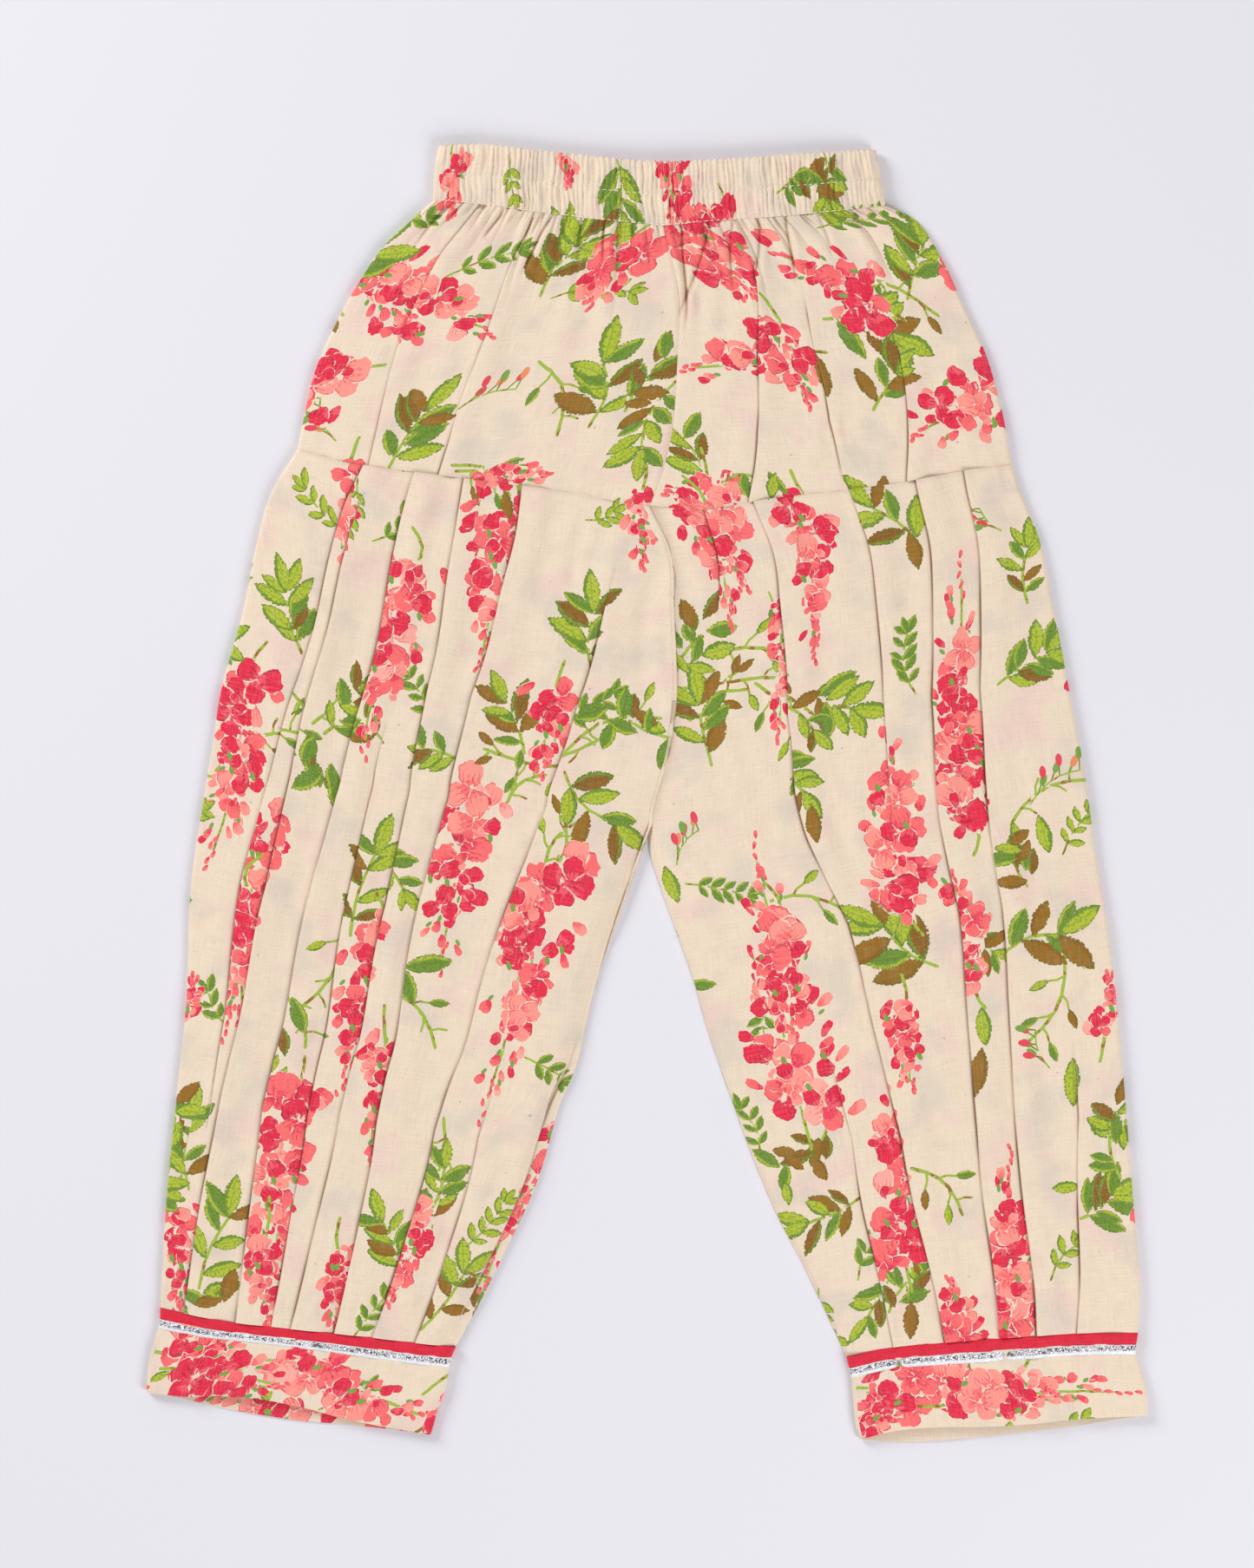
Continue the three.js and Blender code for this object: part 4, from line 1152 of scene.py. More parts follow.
# Waist casing
# The yoke's cloth turned down over elastic and sewn in two rows of white thread, which makes two channels.
# The elastic draws it into over eighty narrow gathers across the front, and as many across the back.
GATHERS = 84
WAIST_WIDTH = 224
WAIST_LEFT = -105
FRONT_GATHERS = 5  # seeds of the gathers' unevenness
BACK_GATHERS = 6
CASING_SEAM_TOP = 7.1  # height of the casing's stitches, and how much lower they are at the sides
CASING_SIDE_DROP = 2.0
SEAM_GATHER = 0.36  # rise of the gathers along the stitches
CASING_WALL = 2.2  # cloth and elastic
INSIDE_FLATTER = 0.576  # share of the height that the inside lacks
WAIST = smooth_line([
    (-103, 319.5), (-83.5, 320.2), (-62, 318), (-31.5, 314.5), (6.5, 311.5), (45.5, 313), (81.5, 315.5),
    (114, 317.5),
])
CASING_SEAM_LEFT = smooth_line([(-105.5, 293.5), (-81.5, 291), (-52, 287), (-28, 284), (8.5, 280.5)])
CASING_SEAM_RIGHT = smooth_line([(8.5, 280.5), (37, 283), (71, 285.5), (97, 288), (118.5, 291)])
CASING_LEFT = smooth_line([(-103, 319.5), (-105, 306), (-105.5, 293.5)])
CASING_RIGHT = smooth_line([(114, 317.5), (116.5, 304), (118.5, 291)])


def gather_wave(s, seed):
    """Uneven narrow gathers across the waist at share s of its width, from -1 to 1."""
    rng = np.random.default_rng(seed)
    knots = np.linspace(0, 1, 41)
    drift = np.interp(s, knots, rng.uniform(-0.35, 0.35, 41))
    strength = np.interp(s, np.linspace(0, 1, 67), rng.uniform(0.3, 1.2, 67))
    return strength * (2 * np.abs(np.sin(math.pi * (GATHERS * s + drift))) ** 0.7 - 1)


casing_place = panel(WAIST, joined(CASING_SEAM_LEFT, CASING_SEAM_RIGHT), CASING_LEFT, CASING_RIGHT)


def casing_seam_top(s):
    return CASING_SEAM_TOP - CASING_SIDE_DROP * np.abs(2 * s - 1) ** 6


def casing_top(s, v):
    """The height of the front's outside, gathers included, at share v from the waist down."""
    channels = np.abs(np.sin(2 * math.pi * np.clip(v, 0.03, 1))) ** 0.6
    crest = casing_seam_top(s) + 1.3 * channels
    fine = SEAM_GATHER + (0.2 + 0.25 * waves(s * WAIST_WIDTH, v * 30, 9, 6, 40)) * channels
    sway = 0.0022 * np.sin(7 * v + 60 * s) * channels
    rise = crest + fine * gather_wave(s + sway, FRONT_GATHERS)
    return rise + 0.5 * channels * waves(s * WAIST_WIDTH, v * 30, 8, 9, 34)


def casing_sheet():
    """The outside from the seam up to the waist, over its edge, and the inside down again."""
    v_out = np.linspace(1, 0, 31)
    v_in = np.linspace(0, 1, 9)
    share = np.linspace(0, 1, GATHERS * 6 + 1)
    rows = []
    edge = [(0.0, turned) for turned in (0.25, 0.5, 0.75)]
    for v, inside in [*((v, 0) for v in v_out), *edge, *((v, 1) for v in v_in)]:
        depth = CASING_WALL * (1 - math.cos(math.pi * inside)) / 2
        bulge = 0.9 * math.sin(math.pi * inside)
        top = casing_top(share, v)[None]
        low, high = top[0, 0] / 2 / WAIST_WIDTH, 1 - top[0, -1] / 2 / WAIST_WIDTH
        shares = (low + (high - low) * share)[None]
        calmer = 1 - 0.6 * inside
        top = (top - top.mean()) * calmer + top.mean()
        places, face, base = wrapped(
            casing_place, casing_place, np.array([v]), shares, top, "both", GATHERS * 3,
            lambda xy: 0.35 + 0.33 * gather_wave((xy[..., 0] - WAIST_LEFT) / WAIST_WIDTH, BACK_GATHERS),
        )
        if depth:
            flatter = 1 - INSIDE_FLATTER * depth / CASING_WALL
            centre = (places[:, face.start, :2] + places[:, face.stop - 1, :2]) / 2
            places[..., 2] = (places[..., 2] - top.mean() / 2) * flatter + top.mean() / 2
            nearer = 1 - 2 * depth / WAIST_WIDTH
            places[..., :2] = centre[:, None] + (places[..., :2] - centre[:, None]) * nearer
        places[..., 1] += bulge
        rows.append(places[0])
    places = np.array([*rows, rows[0]])
    near_edge = np.abs(np.arange(len(places)) - len(v_out)) < 7
    places[..., 1] += 0.35 * np.sin(places[..., 0] * 1.9) * near_edge[:, None]
    return places, face, base


places, face, base = casing_sheet()
# Painted shade in the valleys of the gathers, uneven along the waist
gathers = gather_wave(np.linspace(0, 1, face.stop), FRONT_GATHERS)
uneven = waves(places[:, face, 0], places[:, face, 1], 7, 9, 12)
shade = np.clip(smooth(-gathers, 0.1, 1) * (0.3 + 0.55 * uneven), 0, 1)
casing = cloth_piece(
    "waist_casing_cloth", places, face, base, np.full(face.stop, True), shade, (0.03, 1), thickness=0,
    closed=True, even=True,
)
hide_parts("waist_casing")

# Yoke
# Two fitted halves of the same cloth, one each side of the front and back seams, gathered into the casing
# and sewn down to the legs. Soft folds fall from the gathers to the pleats of the legs.
YOKE_TOP = 6.6  # heights of the cloth below the casing and at the hip
HIP_TOP = 5.2
YOKE_LENGTH = 118  # along the front seam, and how much longer the sides are
YOKE_SIDE_LENGTH = 25
SEAM_LAP = 0.8  # how far the left half lies over the right one along the front seam
SOFT_FOLDS = 21  # short folds below the casing, on each half
HIP_LEFT = smooth_line([
    (-105.5, 293.5), (-115, 285), (-129.5, 271.5), (-142, 253.5), (-153.5, 233), (-164.5, 207.5),
    (-169.5, 186), (-172.5, 170.5),
])
HIP_RIGHT = smooth_line([
    (118.5, 291), (133.5, 284), (146, 265.5), (157.5, 241), (168, 218), (176.5, 188), (181, 163),
])
YOKE_SEAM_LEFT = smooth_line([
    (-172.5, 170.5), (-147, 164), (-128.5, 161), (-105.5, 158), (-71.5, 153.5), (-36, 149), (-14.5, 144.5),
    (1.5, 142.5),
])
YOKE_SEAM_RIGHT = smooth_line([
    (1.5, 142.5), (29, 140.5), (44, 143), (68.5, 147), (100, 150.5), (132, 155), (157.5, 160), (181, 163),
])
FRONT_SEAM = smooth_line([
    (8.5, 280.5), (13, 262), (16, 240), (15, 212.5), (12.5, 179.5), (8, 160), (1.5, 142.5),
])
BACK_SEAM = smooth_line([(8.5, 280.5), (5, 212), (1.5, 142.5)])
# across: the fold's place from left to right at five even heights; from, to: where it stands; tuck: how
# deep it goes under; rise: its height
YOKE_FOLDS_LEFT = [
    {"from": 0, "to": 1, "tuck": 2.5, "rise": 1.0, "across": [0.207, 0.195, 0.194, 0.206, 0.206]},
    {"from": 0.05, "to": 1, "tuck": 2.0, "rise": 1.0, "across": [0.45, 0.433, 0.432, 0.413, 0.403]},
]
YOKE_FOLDS_RIGHT = [
    {"from": 0.18, "to": 1, "tuck": 2.5, "rise": 1.0, "across": [0.31, 0.302, 0.275, 0.267, 0.273]},
    {"from": 0.35, "to": 0.93, "tuck": 1.2, "rise": 0.8, "across": [0.45, 0.461, 0.467, 0.486, 0.537]},
    {"from": 0.55, "to": 1, "tuck": 2.0, "rise": 0.9, "across": [0.767, 0.753, 0.738, 0.723, 0.708]},
]


def yoke(side, folds, front, back, seam_from, seam_to):
    """Half of the yoke from the front seam round the side fold to the back seam."""
    left = side == "left"
    v = np.r_[np.linspace(0, 0.2, 18), np.linspace(0.2, 1, 46)[1:]]
    shares, rises, shown, shade, widths = pleated_row(folds, front, v, left, SEAM_LAP, 215, 6)
    rows = v[:, None]
    xy = front(shares, rows)
    outwards = 1 - shares if left else shares
    tall = YOKE_LENGTH + YOKE_SIDE_LENGTH * outwards
    waist = seam_from + shares * (seam_to - seam_from)
    from_waist = rows * tall
    pucker = 6 + 4 * waves(waist * WAIST_WIDTH, waist, 25, 17, 9)
    gathers = gather_wave(waist, FRONT_GATHERS)
    fine = 1.5 * SEAM_GATHER * gathers * np.exp(-((from_waist / pucker) ** 1.5))
    rng = np.random.default_rng(23 + left)
    soft, line = np.zeros_like(shares), np.zeros_like(shares)
    for middle in np.linspace(0.03, 0.97, SOFT_FOLDS):
        middle += rng.uniform(-0.02, 0.02)
        long, deep, broad = 6 + 30 * rng.random() ** 2, rng.uniform(0.7, 1.9), rng.uniform(1.1, 2.1)
        lean = rng.uniform(-0.12, 0.12)
        off = (shares - middle) * widths + lean * from_waist
        fade = ridge(from_waist, long)
        soft -= deep * (ridge(off, broad) - 0.6 * ridge((off + 2.2 * broad) / broad, 1.4)) * fade
        # line is painted shade along the soft fold's trough
        line += deep * ridge(off, 0.55) * fade
    soft *= 1 - np.exp(-from_waist / 1.5)
    soft += 0.5 * waves(shares * 110, from_waist, 22, 13, 50) * np.exp(-from_waist / 40)
    top = YOKE_TOP + (HIP_TOP - YOKE_TOP) * smooth(rows, 0, 0.5)
    furrows, furrow_shade = furrowed(xy)
    top = top - (top - SIDE_TOP) * outwards**4 + fine + soft + rises + creased(xy) + furrows
    seam_top = casing_seam_top(waist) + SEAM_GATHER * gathers
    top += (seam_top - top) * ridge(from_waist, 3.5)
    top += 0.28 * waves(xy[..., 0], xy[..., 1], 24, 26, 60)
    from_legs = (1 - rows) * tall
    top -= 0.2 * ridge(from_legs, 0.7)
    from_seam = outwards * widths
    top -= 0.5 * ridge(from_seam, 1)
    # Painted shade: in the folds' creases, the gathers' valleys, the soft folds' and furrows' troughs, and
    # along the seams to the legs and at the front
    shade = shade * (0.55 + 0.5 * waves(xy[..., 0], xy[..., 1], 92, 40, 50))
    shade += 0.4 * smooth(-fine, 0.1, 0.5) + 0.45 * line + 0.6 * furrow_shade
    shade += 0.1 * ridge(from_legs, 0.5) + 0.2 * ridge(from_seam, 0.6)
    shade = np.clip(shade, 0, 1)
    places, face, base = wrapped(front, back, v, shares, top, side, 84, resting(31))
    grain, half = ((0.05, -1), -1) if left else ((-0.05, -1), 1)
    piece = cloth_piece(f"yoke_{side}_cloth", places, face, base, shown, shade, grain, half)
    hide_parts(f"yoke_{side}")
    return piece


SEAM_SHARE = CASING_SEAM_LEFT[2] / (CASING_SEAM_LEFT[2] + CASING_SEAM_RIGHT[2])
yoke_left = yoke(
    "left", YOKE_FOLDS_LEFT,
    panel(CASING_SEAM_LEFT, YOKE_SEAM_LEFT, HIP_LEFT, FRONT_SEAM),
    panel(CASING_SEAM_LEFT, YOKE_SEAM_LEFT, HIP_LEFT, BACK_SEAM), 0.0, SEAM_SHARE,
)
yoke_right = yoke(
    "right", YOKE_FOLDS_RIGHT,
    panel(CASING_SEAM_RIGHT, YOKE_SEAM_RIGHT, FRONT_SEAM, HIP_RIGHT),
    panel(CASING_SEAM_RIGHT, YOKE_SEAM_RIGHT, BACK_SEAM, HIP_RIGHT), SEAM_SHARE, 1.0,
)

# Legs
# Each leg is one wide cloth, folded at the outer side and sewn at the inner leg. Knife pleats of uneven
# depth are sewn into the yoke and the cuff, each lying over the cloth on its left.
LEG_TOP = 5.4  # heights of the cloth in the upper leg and at the cuff
CUFF_TOP = 4.4
LAPPED_TOP = 2.7  # where the front falls to the back at the inner leg, over this width
INSEAM_DROP = 12
INSEAM_TOP = 0.62
LEG_LENGTH = 440
OUTER_LEFT = smooth_line([
    (-172.5, 170.5), (-185.5, 149), (-192.5, 125), (-199.5, 90.5), (-210.5, 50.5), (-214, 28), (-219.5, -6),
    (-225.5, -48.5), (-227.5, -101.5), (-232.5, -151), (-237, -195.5), (-240.5, -254),
])
OUTER_RIGHT = smooth_line([
    (181, 163), (185, 150.5), (195, 124.5), (202.5, 88), (209.5, 51), (216.5, 14), (222.5, -29), (229, -69),
    (233.5, -109.5), (236.5, -143), (241, -200), (244.5, -242.5), (243.5, -266.5),
])
RISE_FRONT = [(1.5, 142.5), (11, 117), (12, 91), (13, 50.5), (9.5, 21), (2, -7), (1.5, -15)]
RISE_BACK = [(1.5, 142.5), (1.5, 117), (1.5, 91), (1.5, 50.5), (1.5, 21), (1.5, -7), (1.5, -15)]
INSEAM_LEFT = [
    (-1.5, -23.5), (-7, -40), (-19.5, -76.5), (-26.5, -100.5), (-34.5, -134.5), (-42, -152), (-54, -192),
    (-69, -225), (-84, -255), (-94, -273.5),
]
INSEAM_RIGHT = [
    (2, -29), (8, -48.5), (13, -62.5), (23, -90.5), (31, -118), (40, -144), (51.5, -176), (65, -208.5),
    (78.5, -234.5), (90, -258.5), (99, -278.5),
]
CUFF_SEAM_LEFT = smooth_line([
    (-240.5, -254), (-212, -260), (-174.5, -264.5), (-141.5, -268), (-108.5, -272), (-94, -273.5),
])
CUFF_SEAM_RIGHT = smooth_line([
    (99, -278.5), (118.5, -274), (144.5, -271.5), (191.5, -268), (218, -266.5), (243.5, -266.5),
])
# over: -1 where the cloth on the left lies over that on the right
PLEATS_LEFT = [
    {"from": 0, "to": 0.74, "tuck": 5, "rise": 1.2, "across": [0.191, 0.163, 0.118, 0.094, 0.06]},
    {"from": 0.08, "to": 1, "tuck": 6, "rise": 1.5, "across": [0.225, 0.195, 0.178, 0.12, 0.083]},
    {"from": 0, "to": 1, "tuck": 7, "rise": 1.6, "across": [0.336, 0.315, 0.283, 0.234, 0.259]},
    {"from": 0.33, "to": 1, "tuck": 3, "rise": 1.0, "across": [0.4, 0.375, 0.372, 0.356, 0.379]},
    {"from": 0, "to": 1, "tuck": 6, "rise": 1.4, "across": [0.475, 0.451, 0.464, 0.441, 0.445]},
    {"from": 0, "to": 1, "tuck": 7, "rise": 1.6, "across": [0.64, 0.551, 0.54, 0.54, 0.59]},
    {"from": 0.13, "to": 1, "tuck": 7, "rise": 1.4, "across": [0.9, 0.788, 0.741, 0.697, 0.72]},
    {"from": 0.74, "to": 1, "tuck": 4, "rise": 1.1, "across": [0.93, 0.88, 0.84, 0.813, 0.863]},
    {
        "from": 0.66, "to": 0.93, "tuck": 3, "rise": 1.0, "over": -1,
        "across": [1.07, 1.036, 1.0, 0.968, 0.965],
    },
]
PLEATS_RIGHT = [
    {"from": 0, "to": 0.12, "tuck": 2, "rise": 0.9, "across": [0.15, 0.1, 0.06, 0.05, 0.04]},
    {"from": 0.7, "to": 1, "tuck": 3, "rise": 1.0, "across": [0.2, 0.22, 0.27, 0.27, 0.164]},
    {"from": 0, "to": 1, "tuck": 7, "rise": 1.6, "across": [0.286, 0.298, 0.398, 0.397, 0.34]},
    {"from": 0, "to": 0.34, "tuck": 4, "rise": 1.1, "across": [0.551, 0.538, 0.57, 0.52, 0.44]},
    {"from": 0, "to": 1, "tuck": 6, "rise": 1.5, "across": [0.732, 0.659, 0.659, 0.6, 0.525]},
    {"from": 0, "to": 1, "tuck": 6, "rise": 1.5, "across": [0.866, 0.781, 0.761, 0.703, 0.652]},
    {"from": 0.72, "to": 1, "tuck": 3, "rise": 1.0, "across": [0.94, 0.92, 0.9, 0.871, 0.79]},
]


def leg(side, pleats, front, back, crotch, grain):
    """A leg from the front seam and inner leg round the outer fold to the back seam."""
    left = side == "left"
    v = np.linspace(0, 1, 162)
    lap = SEAM_LAP * (1 - smooth(v, crotch - 0.06, crotch))
    shares, rises, shown, shade, widths = pleated_row(pleats, front, v, left, lap, 120, 4)
    rows = v[:, None]
    xy = front(shares, rows)
    outwards = 1 - shares if left else shares
    top = HIP_TOP + (LEG_TOP - HIP_TOP) * smooth(rows, 0, 0.2)
    top = top + (CUFF_TOP - top) * smooth(rows, 0.85, 1)
    top = SIDE_TOP + (top - SIDE_TOP) * (1 - outwards**5) + rises * (1 - outwards**30) + creased(xy)
    along = xy[..., 0] - rows * LEG_LENGTH * grain[0] / abs(grain[1])
    top += 0.27 * waves(along, xy[..., 1], 41 + left, 24, 110) * smooth(outwards, 1, 0.9)
    top += 0.14 * waves(xy[..., 0], xy[..., 1], 43 + left, 30, 14) * smooth(outwards, 1, 0.9)
    top += 0.45 * ridge(rows - 0.97, 0.02) * waves(along, rows * 10, 51 + left, 9, 100)
    from_inner = outwards * widths
    lapped = smooth(rows, crotch - 0.06, crotch + 0.02) * (1 - smooth(from_inner, 0, INSEAM_DROP))
    top = top + (LAPPED_TOP - top) * lapped
    below_crotch = smooth(rows, crotch - 0.01, crotch + 0.01)
    top = top + (INSEAM_TOP - top) * below_crotch * ridge(from_inner, 1.3)
    seam = ridge(from_inner, 1.4) * (1 - below_crotch)
    top += (0.3 if left else -0.2) * seam
    from_yoke, from_cuff = rows * LEG_LENGTH, (1 - rows) * LEG_LENGTH
    top -= 0.25 * ridge(from_yoke, 1) + 0.4 * ridge(from_cuff, 1.5)
    # Painted shade: in the pleats' creases, along the seam to the yoke, and on the right leg in a broad band
    # beside the front seam
    shade = shade * (0.6 + 0.6 * waves(xy[..., 0], xy[..., 1], 91, 40, 60))
    shade = np.clip(shade + 0.15 * ridge(from_yoke, 0.8), 0, 1)
    if not left:
        shade = np.clip(shade + 0.35 * ridge(from_inner, 4) * (1 - below_crotch), 0, 1)
    places, face, base = wrapped(front, back, v, shares, top, side, 56, resting(61 + left))
    half = -1 if left else 1
    piece = cloth_piece(f"leg_{side}_cloth", places, face, base, shown, shade, grain, half)
    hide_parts(f"leg_{side}")
    return piece


left_front, left_back = smooth_line(RISE_FRONT + INSEAM_LEFT), smooth_line(RISE_BACK + INSEAM_LEFT)
right_front, right_back = smooth_line(RISE_FRONT + INSEAM_RIGHT), smooth_line(RISE_BACK + INSEAM_RIGHT)
rise_length = smooth_line(RISE_BACK)[2]
leg_left = leg(
    "left", PLEATS_LEFT,
    panel(YOKE_SEAM_LEFT, CUFF_SEAM_LEFT, OUTER_LEFT, left_front),
    panel(YOKE_SEAM_LEFT, CUFF_SEAM_LEFT, OUTER_LEFT, left_back),
    rise_length / left_back[2], (-0.19, -1),
)
leg_right = leg(
    "right", PLEATS_RIGHT,
    panel(YOKE_SEAM_RIGHT, CUFF_SEAM_RIGHT, right_front, OUTER_RIGHT),
    panel(YOKE_SEAM_RIGHT, CUFF_SEAM_RIGHT, right_back, OUTER_RIGHT),
    rise_length / right_back[2], (0.19, -1),
)

# Cuffs
# A straight double band of the cloth, laid crosswise, with its ends sewn at the inner leg. The front's hem
# lies a little higher than the back's, so the inside of the back shows below it.
CUFF_ROUND = 300  # the cuff's flat length
PIPING = 6  # widths of the two trims, from the cuff's seam down
RIBBON = 4.8
CUFF_LEFT_OUTER = smooth_line([(-240.5, -254), (-241, -263), (-245.5, -278), (-247.5, -296)])
CUFF_LEFT_INNER = smooth_line([
    (-94, -273.5), (-96.5, -279.5), (-99, -293), (-102.5, -303), (-106.5, -317),
])
CUFF_RIGHT_INNER = smooth_line([(99, -278.5), (101.5, -289.5), (103.5, -311.5), (105.5, -319.5)])
CUFF_RIGHT_OUTER = smooth_line([
    (243.5, -266.5), (242.5, -276.5), (245, -285), (247.6, -295.5), (248, -307.5),
])
HEM_LEFT_FRONT = smooth_line([
    (-247.5, -296), (-228.5, -298), (-208.5, -297.5), (-186.5, -300), (-167.5, -304), (-146.5, -309.5),
    (-106.5, -317),
])
HEM_LEFT_BACK = smooth_line([
    (-247.5, -296), (-233.5, -298.7), (-207.5, -304.5), (-174, -310), (-146.5, -312.5), (-106.5, -317),
])
HEM_RIGHT_FRONT = smooth_line([
    (105.5, -319.5), (120.5, -315.5), (137.5, -313.5), (178, -312.5), (216, -309), (248, -307.5),
])
HEM_RIGHT_BACK = smooth_line([(105.5, -319.5), (126.5, -321), (165.5, -318.5), (216, -312.5), (248, -307.5)])


def band(place, start, end):
    """The part of a panel between two shares of its height."""
    return lambda s, v: place(s, start + (end - start) * np.asarray(v, float))


def cuff_form(side, top, left, right, hem_front, hem_back):
    """What a cuff, its piping and its ribbon have in common."""
    front, back = panel(top, hem_front, left, right), panel(top, hem_back, left, right)
    tall = (left[2] + right[2]) / 2
    return {"side": side, "front": front, "back": back, "tall": tall}


def cuff_rise(s, x):
    """The height of a cuff's front, low at its side folds."""
    return CUFF_TOP - (CUFF_TOP - SIDE_TOP) * np.abs(2 * s - 1) ** 6 + 0.18 * waves(x, x * 0, 71, 22, 50)


def across_cuff(columns, rows):
    """The shares of a cuff's width between its side folds, the same in each row."""
    fold = SIDE_TOP / CUFF_ROUND
    return np.repeat(np.linspace(fold, 1 - fold, columns)[None], rows, 0)


CUFFS = [
    cuff_form("left", CUFF_SEAM_LEFT, CUFF_LEFT_OUTER, CUFF_LEFT_INNER, HEM_LEFT_FRONT, HEM_LEFT_BACK),
    cuff_form("right", CUFF_SEAM_RIGHT, CUFF_RIGHT_INNER, CUFF_RIGHT_OUTER, HEM_RIGHT_FRONT, HEM_RIGHT_BACK),
]


def cuff(form):
    """A cuff's cloth, from under the piping to the hem."""
    start = (PIPING - 0.5) / form["tall"]
    front, back = band(form["front"], start, 1), band(form["back"], start, 1)
    v = np.linspace(0, 1, 24)
    shares = across_cuff(91, len(v))
    xy = front(shares, v[:, None])
    top = cuff_rise(shares, xy[..., 0]) + 0.25 * waves(xy[..., 0], xy[..., 1], 72, 30, 40)
    top += 0.25 * smooth(v, 0.9, 0.97)[:, None] - 0.5 * smooth(v, 0.985, 1.0)[:, None]
    places, face, base = wrapped(front, back, v, shares, top, "both", 60, resting(73))
    piece = cloth_piece(
        f"cuff_{form['side']}_cloth", places, face, base, np.full(face.stop, True), 0,
        (0.12 if form["side"] == "left" else -0.05, -1), thickness=0.5, closed=True,
    )
    piece.data.materials[1] = COTTON  # the band is double, so its inside is a right side too
    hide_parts(f"cuff_{form['side']}")
    return piece


cuffs = [cuff(form) for form in CUFFS]

# Piping
# A flat strip of plain red cotton, folded over the seam from leg to cuff and sewn all round.


def plain_sheet(name, places, thickness, material):
    """A closed band of one material."""
    reach = np.cumsum(np.linalg.norm(np.diff(places, axis=1, prepend=places[:, :1]), axis=2), axis=1)
    down = np.cumsum(np.linalg.norm(np.diff(places[:, 0], axis=0, prepend=places[:1, 0]), axis=1))
    flat = np.stack([reach, np.broadcast_to(down[:, None], reach.shape)], -1)
    mesh, _, _ = sheet_mesh(name, places, flat)
    merge_ends(mesh)
    mesh.materials.append(material)
    return new_piece(name, mesh, thickness)


red_cotton, tree, shader = new_material("red cotton", 0.7)
slubs = slubs_of(tree, flat_cloth(tree), 120)
red = blend(tree, slubs.between(0.8, 1.2), linear(214, 8, 44), linear(232, 24, 60))
surface(tree, shader, red, slubs, 0.3, 0.0003)
shader.inputs["Sheen Weight"].default_value = 0.2


def strip(form, start, end, rows, extra, seed):
    """The corners of a band round the leg, between two heights in millimetres below the leg's edge."""
    front = band(form["front"], start / form["tall"], end / form["tall"])
    back = band(form["back"], start / form["tall"], end / form["tall"])
    v = np.linspace(0, 1, rows)
    shares = across_cuff(121, rows)
    xy = front(shares, v[:, None])
    top = cuff_rise(shares, xy[..., 0]) + extra + 0.16 * waves(xy[..., 0], xy[..., 1], seed, 12, 30)
    top -= 0.35 * (np.abs(2 * v - 1) ** 5)[:, None]
    places, _, _ = wrapped(front, back, v, shares, top, "both", 90, lambda at: 0.0 * at[..., 0])
    return places


pipings = []
for form in CUFFS:
    piping = plain_sheet(f"piping_{form['side']}_cloth", strip(form, 0, PIPING, 7, 0.35, 81), 0.5, red_cotton)
    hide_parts(f"piping_{form['side']}")
    pipings.append(piping)

# Ribbon
# A narrow woven metallic ribbon, crinkled and glittering, sewn on the cuff just below the piping.
ribbon_foil, tree, shader = new_material("metallic ribbon", 0.35)
flat = flat_cloth(tree)
crinkle = noise(tree, flat, 420, 1, (0.8, 1.2, 1))
# The dark scribbles are painted reflections of the crinkled foil, mostly in patches along its upper half,
# over the near-white foil
reflection_scribble = 1 - (crinkle * 6).math("PINGPONG", 0.5).between(0.2, 0.3)
down = parts(tree, flat)[1]
reflection_patches = down.between(0.0003, 0.0008) * (1 - down.between(0.0028, 0.0036))
reflection_patches = reflection_patches * noise(tree, flat, 90, 1).between(0.2, 0.42)
foil_and_reflections = blend(tree, reflection_scribble * (reflection_patches * 0.8 + 0.08), linear(252, 252, 254), linear(40, 38, 42))
surface(tree, shader, foil_and_reflections, crinkle + reflection_scribble * 0.3, 0.7, 0.0005)
shader.inputs["Metallic"].default_value = 0.1

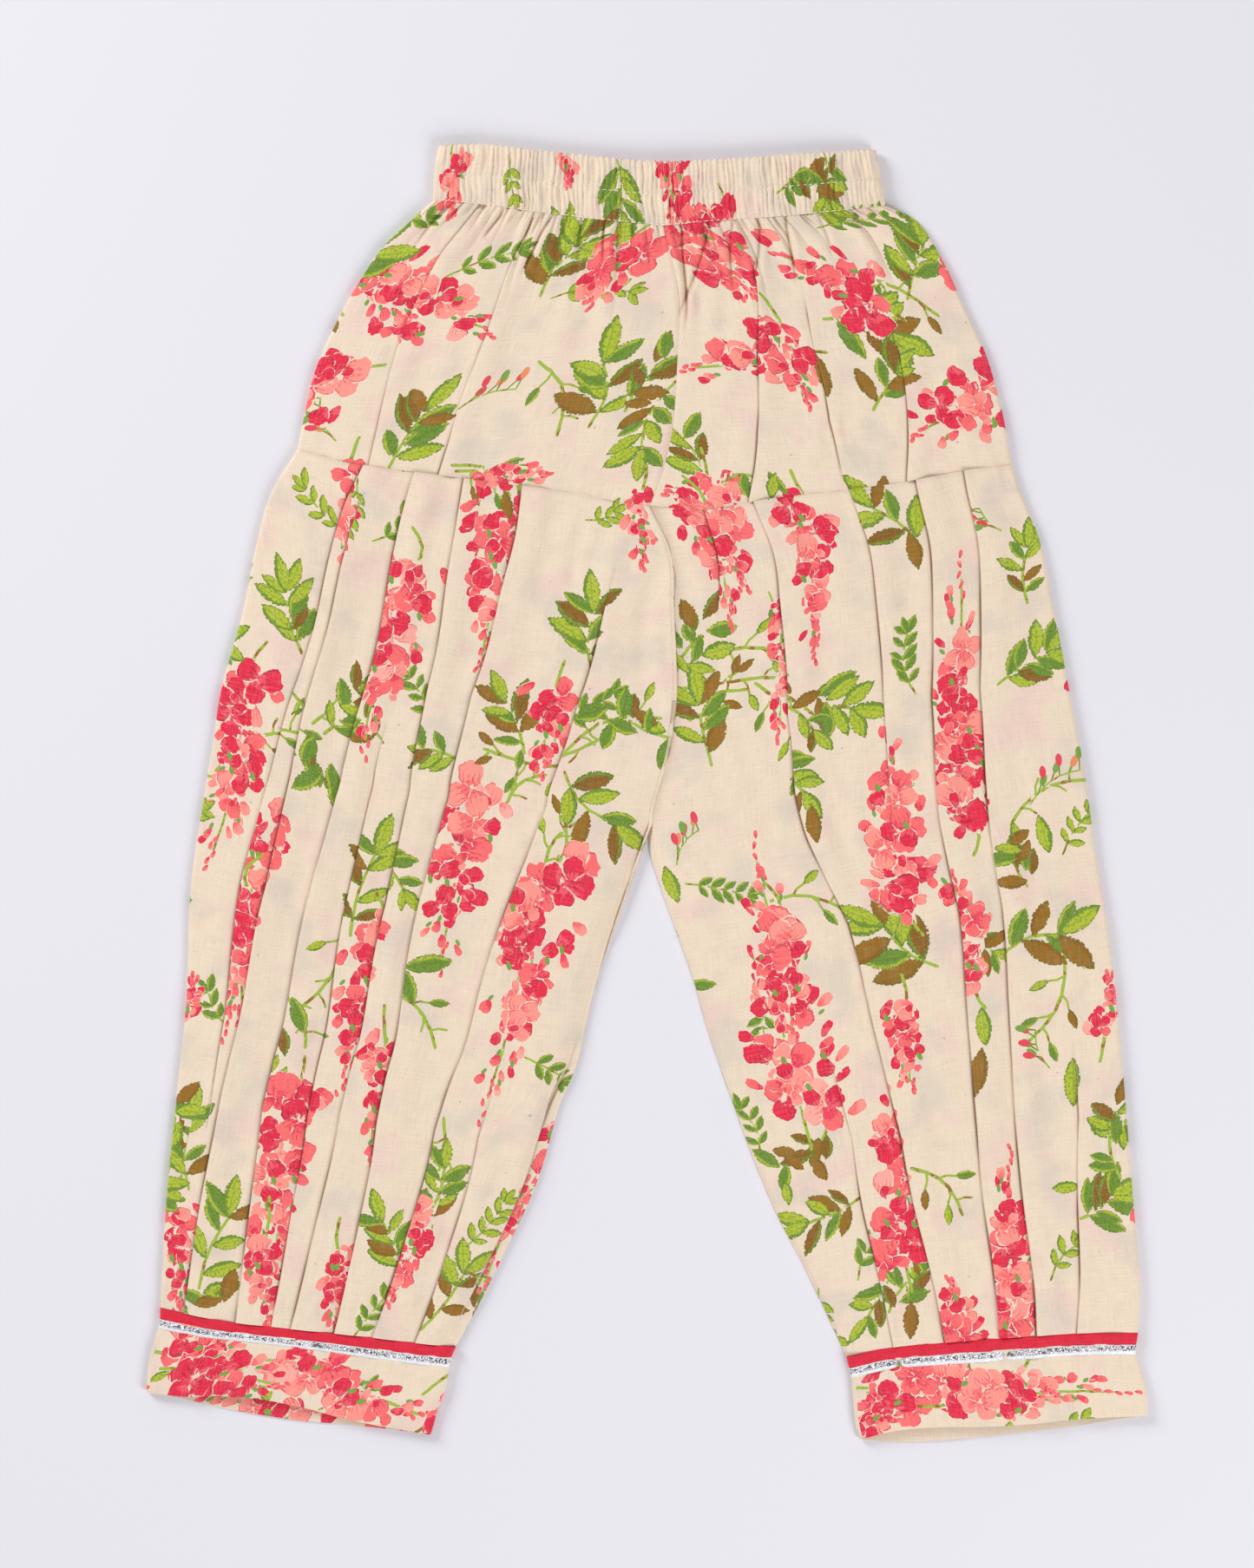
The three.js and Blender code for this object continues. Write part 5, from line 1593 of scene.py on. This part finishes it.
for form, cuff_piece, piping in zip(CUFFS, cuffs, pipings):
    places = strip(form, PIPING - 0.2, PIPING + RIBBON, 7, 0.45, 82)
    ribbon = plain_sheet(f"ribbon_{form['side']}_band", places, 0.25, ribbon_foil)
    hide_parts(f"ribbon_{form['side']}")

# Stitches
# Two rows of white lock stitches hold the elastic in the casing: one between its channels and one at its
# lower edge, on the front and on the back.
STITCH = 2.3
STITCH_GAP = 0.7
STITCH_ROWS = (0.5, 0.985)  # shares of the way down the casing
THREAD = 0.2  # half its thickness
thread_cotton, tree, shader = new_material("white thread", 0.6)
strand = noise(tree, tree.nodes.new("ShaderNodeTexCoord").outputs["Object"], 3000, 1)
tree.links.new(blend(tree, strand, linear(246, 238, 228), linear(255, 252, 246)), shader.inputs["Base Color"])


def stitch_end(s, v, side):
    """A place just above the casing's front or just below its back."""
    x, y = casing_place(np.array(s), np.array(v))
    z = float(casing_top(np.array(s), v)) + 0.12 if side == "front" else 0.1
    return np.array([x + SHIFT[0], y + SHIFT[1], z]) * MM


def stitch(bm, start, end):
    """A short rounded length of thread."""
    turn = Vector(end - start).to_track_quat("X", "Z").to_matrix()
    for vert in bmesh.ops.create_uvsphere(bm, u_segments=6, v_segments=4, radius=1)["verts"]:
        vert.co.x *= STITCH * MM / 2
        vert.co.y *= THREAD * MM
        vert.co.z *= THREAD * MM
        vert.co = turn @ vert.co + Vector((start + end) / 2)


stitches = bmesh.new()
share = np.linspace(0.012, 0.988, 400)
for v in STITCH_ROWS:
    xy = casing_place(share, np.full(len(share), v))
    length = np.r_[0, np.cumsum(np.linalg.norm(np.diff(xy, axis=0), axis=1))]
    for start in np.arange(0, length[-1] - STITCH, STITCH + STITCH_GAP):
        first, last = (np.interp(at, length, share) for at in (start, start + STITCH))
        for side in ("front", "back"):
            stitch(stitches, stitch_end(first, v, side), stitch_end(last, v, side))
stitch_mesh = bpy.data.meshes.new("stitches")
stitches.to_mesh(stitch_mesh)
stitches.free()
stitch_mesh.polygons.foreach_set("use_smooth", [True] * len(stitch_mesh.polygons))
stitch_mesh.materials.append(thread_cotton)
stitch_rows = bpy.data.objects.new("casing_stitches", stitch_mesh)
bpy.context.collection.objects.link(stitch_rows)
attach(stitch_rows, "root")
